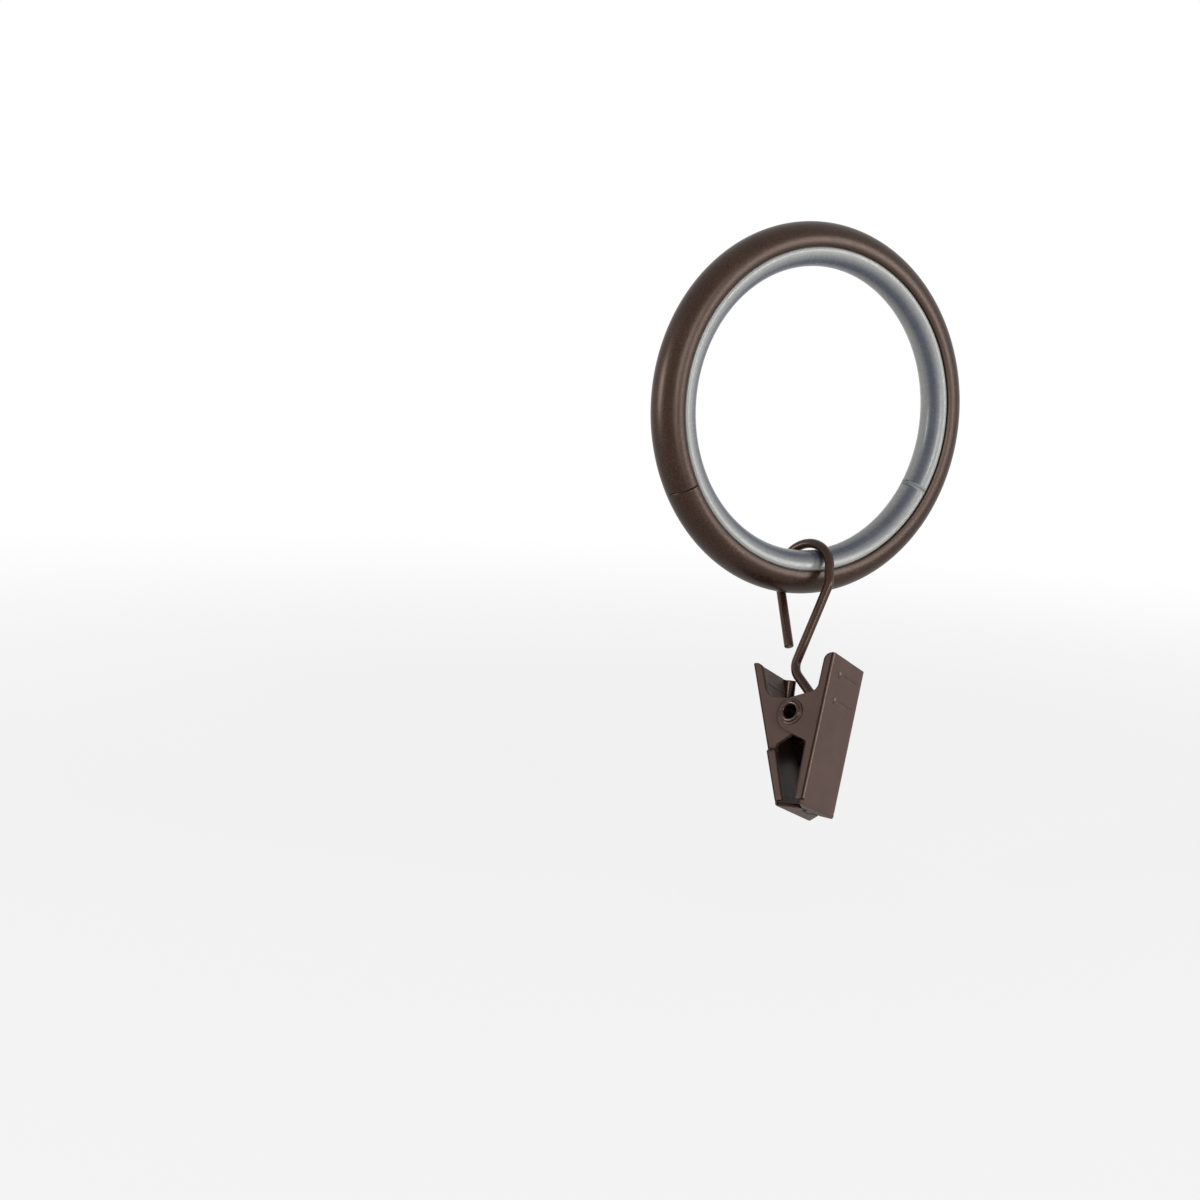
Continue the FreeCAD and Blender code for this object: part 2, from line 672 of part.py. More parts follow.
def spring_route():
    """Centre line of the spring about the pin: a leg, a left-handed coil and a leg."""
    lean = size("spring_leg_angle")
    turns = size("spring_turn_count") + 0.5 - lean / 180
    length = size("spring_length")
    coil = Part.makeHelix(length / turns, length, size("coil_radius"), 0, True)
    along_pin = FreeCAD.Rotation(Vector(0, 1, 0), Vector(0, 0, 1), Vector(1, 0, 0))
    coil.Placement = FreeCAD.Placement(
        Vector(-length / 2, 0, 0),
        along_pin * FreeCAD.Rotation(Vector(0, 0, 1), -lean))
    first = coil.Edges[0]
    last = coil.Edges[-1]
    start = first.valueAt(first.FirstParameter)
    stop = last.valueAt(last.LastParameter)
    leg = size("spring_leg")
    back = first.tangentAt(first.FirstParameter) * -leg
    onward = last.tangentAt(last.LastParameter) * leg
    edges = [Part.LineSegment(start + back, start).toShape()]
    edges += coil.Edges
    edges.append(Part.LineSegment(stop, stop + onward).toShape())
    return Part.Wire(edges)


def build_torsion_spring():
    """Coil on the rivet whose two legs push the handles apart."""
    return swept_wire("torsion_spring", spring_route(), "spring_wire / 2", CLIP_PLACEMENT)


def build_all():
    """Every sub-part of the object."""
    return [
        build_metal_ring(),
        build_ring_liner(),
        build_hook_wire(),
        build_outer_jaw(),
        build_inner_jaw(),
        build_pivot_rivet(),
        build_torsion_spring(),
    ]


def check_document(parts):
    """Stop where a feature failed or a sub-part has no sound solid."""
    for item in DOCUMENT.Objects:
        if "Invalid" in item.State or "Error" in item.State:
            raise RuntimeError(f"{item.Name} failed: {item.State}")
    for part in parts:
        shape = part.Shape
        if shape.isNull() or not shape.isValid() or not shape.Solids:
            raise RuntimeError(f"{part.Label} has no valid solid")


DOCUMENT = FreeCAD.newDocument("curtain_ring_with_clip")
make_sheet(DOCUMENT)
PARTS = build_all()
DOCUMENT.recompute()
check_document(PARTS)
os.makedirs("parts", exist_ok=True)
for part in PARTS:
    part.Shape.exportStep(f"parts/{part.Label}.step")
    print(part.Label, round(part.Shape.Volume, 2), len(part.Shape.Solids), part.Shape.BoundBox)
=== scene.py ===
"""Visible pieces of a curtain ring with a swinging spring clip, and a plain studio round it.

Sizes are in millimetres and degrees, and go into the meshes in metres. The ring stands in
the XZ plane about the Y axis. The hook and the clip each have a local frame below it.
"""

import logging
from collections.abc import Iterable
from dataclasses import dataclass, field
from enum import Enum

import bmesh
import bpy
import numpy as np
from mathutils import Matrix

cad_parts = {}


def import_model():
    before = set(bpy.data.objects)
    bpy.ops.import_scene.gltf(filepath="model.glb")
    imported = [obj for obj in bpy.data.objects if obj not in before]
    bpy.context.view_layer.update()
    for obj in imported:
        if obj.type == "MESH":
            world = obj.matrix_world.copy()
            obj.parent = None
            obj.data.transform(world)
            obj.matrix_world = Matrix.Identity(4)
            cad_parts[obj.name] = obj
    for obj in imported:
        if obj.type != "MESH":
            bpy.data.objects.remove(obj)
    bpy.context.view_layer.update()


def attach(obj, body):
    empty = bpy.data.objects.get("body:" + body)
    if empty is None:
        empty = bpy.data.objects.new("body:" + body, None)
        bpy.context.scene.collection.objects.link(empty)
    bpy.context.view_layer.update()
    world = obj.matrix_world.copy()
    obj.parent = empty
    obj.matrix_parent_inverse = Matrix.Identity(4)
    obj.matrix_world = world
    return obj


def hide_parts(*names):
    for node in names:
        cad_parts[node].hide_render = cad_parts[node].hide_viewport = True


MM = 0.001
MERGE = 1e-7
LOG = logging.getLogger("curtain_ring")

# Ends and middle of the range that most of a noise's values lie in.
NOISE_LOW, NOISE_MIDDLE, NOISE_HIGH = 0.3, 0.5, 0.7
# Numbers of the Mix node's two colour inputs and of its colour output.
MIX_COLOURS, MIX_RESULT = (6, 7), 2
# Marks between which a painted highlight line fades in, and, negated, a painted shade line.
PAINTED_LIGHT_RANGE = (0.15, 0.9)
# Rows of points over the softened edge of a wire's cut end.
END_ROWS = 6
# Slack for heights that are compared after rounding.
SLACK = 1e-6
WHITE = (1.0, 1.0, 1.0)

Array = np.ndarray
Colour = tuple[float, float, float]
Point = tuple[float, float, float]


class Body(Enum):
    """Moving bodies that the pieces ride on."""

    RING = "ring"
    HOOK = "hook"
    INNER = "inner_side"
    OUTER = "outer_side"


class Slot(Enum):
    """Material slots that the pieces take their finish from."""

    RING = "ring_metal"
    LINER = "liner_plastic"
    WIRE = "wire_metal"
    CLIP = "clip_metal"
    SPRING = "spring_steel"


def turn_about(axis: int, degrees: float) -> Array:
    """Rotation matrix about one of the axes X, Y or Z, numbered 0 to 2.

    Args:
        axis: number of the axis.
        degrees: the turn, from the next axis towards the one after it.

    Returns:
        Matrix of three rows and columns.
    """
    cos, sin = np.cos(np.radians(degrees)), np.sin(np.radians(degrees))
    matrix = np.eye(3)
    low, high = (axis + 1) % 3, (axis + 2) % 3
    matrix[low, low] = matrix[high, high] = cos
    matrix[high, low], matrix[low, high] = sin, -sin
    return matrix


def ease(value: Array) -> Array:
    """Smooth step from 0 to 1: 3 t squared less 2 t cubed, with t held between 0 and 1."""
    held = np.clip(value, 0.0, 1.0)
    return held * held * (3.0 - 2.0 * held)


def unit(vectors: Array) -> Array:
    """Vectors divided by their lengths."""
    return vectors / np.linalg.norm(vectors, axis=-1, keepdims=True)


def grid_faces(rows: int, columns: int, round_rows: bool = False,
               round_columns: bool = False) -> Array:
    """Quads between neighbouring points of a grid.

    Args:
        rows: number of rows of points.
        columns: number of points in a row.
        round_rows: whether the last row is followed by the first.
        round_columns: whether a row's last point is followed by its first.

    Returns:
        Array of four point numbers for each quad.
    """
    row = np.arange(rows if round_rows else rows - 1)[:, None]
    column = np.arange(columns if round_columns else columns - 1)[None, :]
    next_row, next_column = (row + 1) % rows, (column + 1) % columns
    corners = [row * columns + column, row * columns + next_column,
               next_row * columns + next_column, next_row * columns + column]
    return np.stack(corners, axis=-1).reshape(-1, 4)


@dataclass
class Sheet:
    """Points and quads of a surface, with one number a point that its finish may read."""

    points: Array
    faces: Array
    marks: Array | None = None

    def joined(self, other: "Sheet") -> "Sheet":
        """Both surfaces in one, not yet merged where they meet.

        Args:
            other: surface whose points and faces follow this one's.

        Returns:
            The joined surface, with marks where both have them.
        """
        marks = None
        if self.marks is not None and other.marks is not None:
            marks = np.concatenate([self.marks, other.marks])
        return Sheet(np.concatenate([self.points, other.points]),
                     np.concatenate([self.faces, other.faces + len(self.points)]), marks)

    def placed(self, rotation: Array, origin: Array) -> "Sheet":
        """The surface turned and then moved."""
        return Sheet(self.points @ rotation.T + origin, self.faces, self.marks)

    def mirrored(self, axis: int) -> "Sheet":
        """The surface with one coordinate negated and its faces still outwards."""
        signs = np.where(np.arange(3) == axis, -1.0, 1.0)
        return Sheet(self.points * signs, self.faces[:, ::-1], self.marks)


def sheet_of(grid: Array, marks: Array | None = None, round_rows: bool = False,
             round_columns: bool = False) -> Sheet:
    """Surface of a grid of points with the shape (rows, columns, 3).

    Args:
        grid: the points.
        marks: one number a point, or a row or column of them.
        round_rows: whether the last row is followed by the first.
        round_columns: whether a row's last point is followed by its first.

    Returns:
        The surface.
    """
    rows, columns = grid.shape[:2]
    faces = grid_faces(rows, columns, round_rows, round_columns)
    flat = None if marks is None else np.broadcast_to(marks, (rows, columns)).reshape(-1)
    return Sheet(grid.reshape(-1, 3), faces, flat)


def swept_about_axis(outline: Array, angle: Array) -> Array:
    """Grid of an outline turned about the ring's axis.

    A point keeps its place along the axis, and lies at its distance from the axis in the
    direction of the angle, counted from X towards Z.

    Args:
        outline: points, as distance from the axis and place along it.
        angle: angles in radians, one a row or one a point.

    Returns:
        Points with the shape (rows, columns, 3).
    """
    x, z = outline[:, 0] * np.cos(angle), outline[:, 0] * np.sin(angle)
    return np.stack([x, np.broadcast_to(outline[:, 1], x.shape), z], axis=-1)


def make_piece(name: str, sheet: Sheet, closed: bool = True, mark: str = "") -> bpy.types.Object:
    """Put a surface into a mesh object at the origin.

    Args:
        name: name of the piece.
        sheet: its surface, in millimetres.
        closed: whether it closes on itself, so that its faces can be turned outwards.
        mark: name of the attribute that takes the surface's marks.

    Returns:
        The new object, merged along seams and poles and shaded smooth.
    """
    mesh = bpy.data.meshes.new(name)
    count = len(sheet.faces)
    mesh.vertices.add(len(sheet.points))
    mesh.vertices.foreach_set("co", (sheet.points * MM).astype(np.float32).ravel())
    mesh.loops.add(count * 4)
    mesh.loops.foreach_set("vertex_index", sheet.faces.astype(np.int32).ravel())
    mesh.polygons.add(count)
    mesh.polygons.foreach_set("loop_start", np.arange(0, count * 4, 4, dtype=np.int32))
    if mark:
        layer = mesh.attributes.new(mark, "FLOAT", "POINT")
        layer.data.foreach_set("value", sheet.marks.astype(np.float32))
    mesh.update(calc_edges=True)
    editor = bmesh.new()
    editor.from_mesh(mesh)
    bmesh.ops.remove_doubles(editor, verts=editor.verts, dist=MERGE)
    bmesh.ops.dissolve_degenerate(editor, edges=editor.edges, dist=MERGE)
    if closed:
        bmesh.ops.recalc_face_normals(editor, faces=editor.faces)
    editor.to_mesh(mesh)
    editor.free()
    mesh.polygons.foreach_set("use_smooth", np.ones(len(mesh.polygons), dtype=bool))
    mesh.update()
    piece = bpy.data.objects.new(name, mesh)
    bpy.context.scene.collection.objects.link(piece)
    return piece


def dress_piece(piece: bpy.types.Object, finishes: list[bpy.types.Material], body: Body,
                node: str = "") -> None:
    """Give a piece its finishes, its body and the node it stands for.

    Args:
        piece: the piece.
        finishes: its materials, the first of which is for most of its faces.
        body: body that it rides on.
        node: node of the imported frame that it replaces, if any.
    """
    for finish in finishes:
        piece.data.materials.append(finish)
    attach(piece, body.value)
    if node:
        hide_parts(node)


def stand(name: str, data: bpy.types.ID, place: Point, back: Array, up: Point) -> bpy.types.Object:
    """Put a lamp or a camera at a place, facing away from a direction.

    Its Z axis points back, its X axis is square to that and to the upward direction, and
    its Y axis is square to both.

    Args:
        name: name of the lamp or the camera.
        data: its settings.
        place: where it stands, in metres.
        back: unit vector that its Z axis follows.
        up: upward direction.

    Returns:
        The new object.
    """
    right = unit(np.cross(up, back))
    matrix = np.eye(4)
    matrix[:3, 0], matrix[:3, 1], matrix[:3, 2] = right, np.cross(back, right), back
    matrix[:3, 3] = place
    thing = bpy.data.objects.new(name, data)
    thing.matrix_world = Matrix(matrix.tolist())
    bpy.context.scene.collection.objects.link(thing)
    return thing


def carried_circle(path: Array, radius: float, sides: int, across: Array,
                   end_round: float) -> Sheet:
    """Round wire along a path.

    The circle of each path point lies in the plane across the path. Its first direction is
    the given one less its part along the path. At both ends the last rows follow a quarter
    circle inwards and then close on the axis.

    Args:
        path: points of the centre line.
        radius: radius of the wire.
        sides: points round the wire.
        across: direction that the circles start from.
        end_round: radius of the softened edge at the wire's cut ends.

    Returns:
        The closed surface.
    """
    along = unit(np.gradient(path, axis=0))
    along[0], along[-1] = unit(path[1] - path[0]), unit(path[-1] - path[-2])
    angle = np.linspace(0.0, np.pi / 2, END_ROWS)
    inward = end_round * (1.0 - np.sin(angle))
    start = path[0] + along[0] * inward[::-1, None]
    stop = path[-1] - along[-1] * inward[:, None]
    narrow = radius - end_round * (1.0 - np.cos(angle))
    centres = np.concatenate([path[:1], path[:1], start, path[1:-1], stop, path[-1:],
                              path[-1:]])
    directions = np.concatenate([np.repeat(along[:1], END_ROWS + 2, axis=0), along[1:-1],
                                 np.repeat(along[-1:], END_ROWS + 2, axis=0)])
    radii = np.concatenate([[0.0, narrow[-1]], narrow[::-1], np.full(len(path) - 2, radius),
                            narrow, [narrow[-1], 0.0]])
    first = unit(across - directions * (directions @ across)[:, None])
    second = np.cross(directions, first)
    turn = np.linspace(0.0, 2 * np.pi, sides, endpoint=False)[None, :, None]
    circle = first[:, None] * np.cos(turn) + second[:, None] * np.sin(turn)
    return sheet_of(centres[:, None] + radii[:, None, None] * circle, round_columns=True)


def arc_points(start: Array, centre: Array, axis: Array, degrees: float, count: int) -> Array:
    """Points of an arc: the start turned about an axis through a centre, in even steps.

    Args:
        start: the first point.
        centre: a point on the axis.
        axis: unit vector along the axis.
        degrees: the whole turn.
        count: number of points.

    Returns:
        The points, from the start.
    """
    turn = np.radians(np.linspace(0.0, degrees, count))[:, None]
    arm = start - centre
    side = np.cross(axis, arm)
    along_axis = axis * (arm @ axis)
    return centre + along_axis + (arm - along_axis) * np.cos(turn) + side * np.sin(turn)


def line_points(start: Array, stop: Array, count: int) -> Array:
    """Evenly spaced points from one point to another."""
    return start + (stop - start) * np.linspace(0.0, 1.0, count)[:, None]


class Nodes:
    """Short way to add and join the nodes of one material."""

    def __init__(self, name: str) -> None:
        """Start a material with a Principled shader on its output.

        Args:
            name: name of the material.
        """
        self.material = bpy.data.materials.new(name)
        self.material.use_nodes = True
        self.tree = self.material.node_tree
        self.tree.nodes.clear()
        self.shader = self.add("ShaderNodeBsdfPrincipled")
        self.output = self.add("ShaderNodeOutputMaterial")
        self.join(self.shader, "BSDF", self.output, "Surface")
        self.place = self.add("ShaderNodeTexCoord")

    def add(self, kind: str, **values: object) -> bpy.types.Node:
        """New node with the given properties.

        Args:
            kind: Blender's name for the kind of node.
            values: properties by their names.

        Returns:
            The node.
        """
        node = self.tree.nodes.new(kind)
        for name, value in values.items():
            setattr(node, name, value)
        return node

    def join(self, source: bpy.types.Node, output: str | int, target: bpy.types.Node,
             entry: str | int) -> None:
        """Link an output of one node to an input of another."""
        self.tree.links.new(source.outputs[output], target.inputs[entry])

    def noise(self, grain: float, detail: float = 2.0) -> bpy.types.Node:
        """Noise on object coordinates whose grain is a size in millimetres.

        Args:
            grain: size of the grain.
            detail: how much finer grain is added.

        Returns:
            The noise's node.
        """
        node = self.add("ShaderNodeTexNoise")
        node.inputs["Scale"].default_value = 1.0 / (grain * MM)
        node.inputs["Detail"].default_value = detail
        self.join(self.place, "Object", node, "Vector")
        return node

    def spread(self, source: bpy.types.Node, output: str | int, low: float, high: float,
               to_low: float, to_high: float) -> bpy.types.Node:
        """Map a value's range to another range, held at its ends.

        Args:
            source: node that gives the value.
            output: which of its outputs.
            low: start of the value's range.
            high: end of that range.
            to_low: result at the start.
            to_high: result at the end.

        Returns:
            The node, whose output is Result.
        """
        node = self.add("ShaderNodeMapRange")
        for entry, value in zip(("From Min", "From Max", "To Min", "To Max"),
                                (low, high, to_low, to_high)):
            node.inputs[entry].default_value = value
        self.join(source, output, node, "Value")
        return node

    def ramp(self, source: bpy.types.Node, output: str | int,
             stops: list[tuple[float, Colour]]) -> bpy.types.Node:
        """Colour ramp over a value.

        Args:
            source: node that gives the value.
            output: which of its outputs.
            stops: positions from 0 to 1 and their colours, in order.

        Returns:
            The node, whose output is Color.
        """
        node = self.add("ShaderNodeValToRGB")
        while len(node.color_ramp.elements) < len(stops):
            node.color_ramp.elements.new(0.5)
        for element, (position, colour) in zip(node.color_ramp.elements, stops):
            element.position = position
            element.color = (*colour, 1.0)
        self.join(source, output, node, "Fac")
        return node

    def mix(self, factor: bpy.types.Node, output: str | int, first: bpy.types.Node | Colour,
            second: bpy.types.Node | Colour) -> bpy.types.Node:
        """Mix of two colours, each a node's colour or a fixed one, by a factor.

        Args:
            factor: node that gives the second colour's share.
            output: which of its outputs.
            first: colour at a share of 0.
            second: colour at a share of 1.

        Returns:
            The mix's node.
        """
        node = self.add("ShaderNodeMix", data_type="RGBA")
        self.join(factor, output, node, 0)
        for entry, colour in zip(MIX_COLOURS, (first, second)):
            if isinstance(colour, tuple):
                node.inputs[entry].default_value = (*colour, 1.0)
            else:
                mixed = colour.bl_idname == "ShaderNodeMix"
                self.join(colour, MIX_RESULT if mixed else "Color", node, entry)
        return node

    def surface(self, grain: bpy.types.Node, roughness: float, play: tuple[float, float],
                height: float, specular: float) -> bpy.types.Material:
        """Finish the shader with a fine noise for its gloss and its bump.

        Args:
            grain: node of the noise.
            roughness: roughness of the finish.
            play: how far the roughness falls and rises with the noise.
            height: height of the bump in millimetres.
            specular: specular level.

        Returns:
            The material.
        """
        gloss = self.spread(grain, "Fac", NOISE_LOW, NOISE_HIGH, roughness - play[0],
                            roughness + play[1])
        self.join(gloss, "Result", self.shader, "Roughness")
        bump = self.add("ShaderNodeBump")
        bump.inputs["Distance"].default_value = height * MM
        self.join(grain, "Fac", bump, "Height")
        self.join(bump, "Normal", self.shader, "Normal")
        self.fix(Specular_IOR_Level=specular)
        return self.material

    def fix(self, **values: float | Colour) -> None:
        """Constants on the shader's own sockets, with underscores for spaces.

        Args:
            values: numbers and colours by the sockets' names.
        """
        for name, value in values.items():
            entry = self.shader.inputs[name.replace("_", " ")]
            full = isinstance(value, tuple) and entry.type == "RGBA"
            entry.default_value = (*value, 1.0) if full else value


@dataclass(frozen=True)
class PowderCoat:
    """Baked bronze powder: dark body colour with fine lighter specks and an even grain.

    grain is the size of the powder's specks, which show over speck_range of the noise.
    cloud is the size of the slow change of tone, and cloud_share the most that it darkens.
    """

    name: str
    dark: Colour
    light: Colour
    grain: float = 0.17
    speck_range: tuple[float, float] = (0.42, 0.72)
    cloud: float = 6.0
    cloud_share: float = 0.35
    roughness: float = 0.35
    gloss_play: tuple[float, float] = (0.05, 0.09)
    specular: float = 0.4
    tint: Colour = (1.0, 0.76, 0.64)
    height: float = 0.005

    def build(self) -> bpy.types.Material:
        """Material of the finish.

        Returns:
            The new material.
        """
        nodes = Nodes(self.name)
        specks = nodes.noise(self.grain, detail=3.0)
        clouds = nodes.noise(self.cloud, detail=1.0)
        speck_part = nodes.spread(specks, "Fac", *self.speck_range, 0.0, 1.0)
        tone = nodes.ramp(speck_part, "Result", [(0.0, self.dark), (1.0, self.light)])
        cloud_part = nodes.spread(clouds, "Fac", NOISE_LOW, NOISE_HIGH, 0.0, self.cloud_share)
        colour = nodes.mix(cloud_part, "Result", tone, self.dark)
        nodes.join(colour, MIX_RESULT, nodes.shader, "Base Color")
        nodes.fix(Specular_Tint=self.tint)
        return nodes.surface(specks, self.roughness, self.gloss_play, self.height, self.specular)


@dataclass(frozen=True)
class ClipLacquer:
    """Satin brown lacquer on pressed sheet, with a painted highlight line and a painted shade line
    at each bend.

    The mesh attribute that it reads is 1 on the painted highlight line, -1 on the painted shade
    line and 0 away from the bends. grain, cloud and patch are the sizes of the fine grain, of the
    slow change of tone and of the breaks in the painted highlight line, whose weakest is
    patch_light.
    """

    name: str
    body: Colour
    shade: Colour
    painted_highlight: Colour
    line: Colour
    painted_light: str
    grain: float = 0.16
    cloud: float = 3.5
    patch: float = 0.7
    patch_light: float = 0.55
    roughness: float = 0.45
    gloss_play: tuple[float, float] = (0.06, 0.08)
    specular: float = 0.12
    height: float = 0.005

    def build(self) -> bpy.types.Material:
        """Material of the finish.

        Returns:
            The new material.
        """
        nodes = Nodes(self.name)
        grain = nodes.noise(self.grain, detail=3.0)
        clouds = nodes.noise(self.cloud)
        patches = nodes.noise(self.patch)
        tone_part = nodes.spread(clouds, "Fac", NOISE_LOW, NOISE_HIGH, 0.0, 1.0)
        tone = nodes.ramp(tone_part, "Result", [(0.0, self.shade), (1.0, self.body)])
        # Painted highlight where the marks are positive, broken by patches; painted shade where
        # they are negative.
        painted_light = nodes.add("ShaderNodeAttribute", attribute_name=self.painted_light)
        breaks = nodes.spread(patches, "Fac", NOISE_LOW, NOISE_MIDDLE, self.patch_light, 1.0)
        bright = nodes.spread(painted_light, "Fac", *PAINTED_LIGHT_RANGE, 0.0, 1.0)
        broken = nodes.add("ShaderNodeMath", operation="MULTIPLY")
        nodes.join(bright, "Result", broken, 0)
        nodes.join(breaks, "Result", broken, 1)
        lit = nodes.mix(broken, 0, tone, self.painted_highlight)
        # Painted shade: marks below zero pull the colour towards the darkest line colour.
        painted_dark = nodes.spread(painted_light, "Fac", -PAINTED_LIGHT_RANGE[1], -PAINTED_LIGHT_RANGE[0], 1.0, 0.0)
        colour = nodes.mix(painted_dark, "Result", lit, self.line)
        nodes.join(colour, MIX_RESULT, nodes.shader, "Base Color")
        return nodes.surface(grain, self.roughness, self.gloss_play, self.height, self.specular)


@dataclass(frozen=True)
class CutEdge:
    """Sheared edge of coated sheet: darker and redder, with short burnished streaks."""

    name: str
    dark: Colour
    red: Colour
    streak: float = 0.3
    streak_range: tuple[float, float] = (0.35, 0.65)
    roughness: float = 0.5
    gloss_play: tuple[float, float] = (0.1, 0.1)
    specular: float = 0.15
    height: float = 0.02

    def build(self) -> bpy.types.Material:
        """Material of the finish.

        Returns:
            The new material.
        """
        nodes = Nodes(self.name)
        streaks = nodes.noise(self.streak, detail=3.0)
        part = nodes.spread(streaks, "Fac", *self.streak_range, 0.0, 1.0)
        colour = nodes.ramp(part, "Result", [(0.0, self.dark), (1.0, self.red)])
        nodes.join(colour, "Color", nodes.shader, "Base Color")
        return nodes.surface(streaks, self.roughness, self.gloss_play, self.height, self.specular)


@dataclass(frozen=True)
class LinerPlastic:
    """Milky smooth plastic: pale, with a painted reflection, a bluish dark band, beside its front
    shoulder.

    The mesh attribute named by across runs from 0 at the front shoulder to 1 at the back.
    Light spreads below the surface by glow_reach, with glow as its share.
    """

    name: str
    pale: Colour
    grey: Colour
    painted_dark: Colour
    across: str
    cloud: float = 5.0
    cloud_share: float = 0.2
    grain: float = 0.6
    roughness: float = 0.25
    gloss_play: tuple[float, float] = (0.05, 0.08)
    specular: float = 0.3
    height: float = 0.0015
    glow: float = 0.1
    glow_reach: float = 0.6

    def build(self) -> bpy.types.Material:
        """Material of the finish.

        Returns:
            The new material.
        """
        nodes = Nodes(self.name)
        across = nodes.add("ShaderNodeAttribute", attribute_name=self.across)
        clouds = nodes.noise(self.cloud)
        fine = nodes.noise(self.grain)
        # Painted reflection: grey into a bluish dark band and back, just behind the front
        # shoulder.
        tone = nodes.ramp(across, "Fac", [
            (0.0, self.pale), (0.06, self.pale), (0.13, self.grey), (0.22, self.painted_dark),
            (0.30, self.painted_dark), (0.38, self.grey), (0.47, self.pale), (1.0, self.pale)])
        part = nodes.spread(clouds, "Fac", NOISE_LOW, NOISE_HIGH, 0.0, self.cloud_share)
        colour = nodes.mix(part, "Result", tone, self.grey)
        nodes.join(colour, MIX_RESULT, nodes.shader, "Base Color")
        nodes.fix(Subsurface_Weight=self.glow, Subsurface_Radius=WHITE,
                  Subsurface_Scale=self.glow_reach * MM)
        return nodes.surface(fine, self.roughness, self.gloss_play, self.height, self.specular)


RING_COAT = PowderCoat("ring_powder_coat", dark=(0.007, 0.0012, 0.0003),
                       light=(0.042, 0.020, 0.012))
WIRE_COAT = PowderCoat("wire_powder_coat", dark=(0.016, 0.005, 0.002),
                       light=(0.034, 0.016, 0.010), grain=0.16, roughness=0.29, height=0.004)
RIVET_COAT = PowderCoat("rivet_coat", dark=(0.012, 0.003, 0.0015), light=(0.022, 0.008, 0.005),
                        grain=0.5, roughness=0.22, specular=0.5, height=0.0003)
# The liner's bluish dark band colour is a painted reflection.
LINER = LinerPlastic("milky_liner", pale=(0.31, 0.315, 0.30), grey=(0.19, 0.195, 0.205),
                     painted_dark=(0.072, 0.079, 0.102), across="across")
# The lighter mark colour is a painted highlight and the darkest colour is a painted shade.
CLIP_COAT = ClipLacquer("clip_lacquer", body=(0.080, 0.047, 0.038), shade=(0.068, 0.040, 0.032),
                        painted_highlight=(0.24, 0.165, 0.125), line=(0.010, 0.003, 0.0015), painted_light="painted_light")
CUT_EDGE = CutEdge("sheared_edge", dark=(0.010, 0.003, 0.0015), red=(0.050, 0.016, 0.007))
SPRING_STEEL = PowderCoat("oiled_spring", dark=(0.014, 0.009, 0.009),
                          light=(0.040, 0.032, 0.030), grain=0.3, roughness=0.26, specular=0.6,
                          tint=(1.0, 0.95, 0.92), height=0.003)


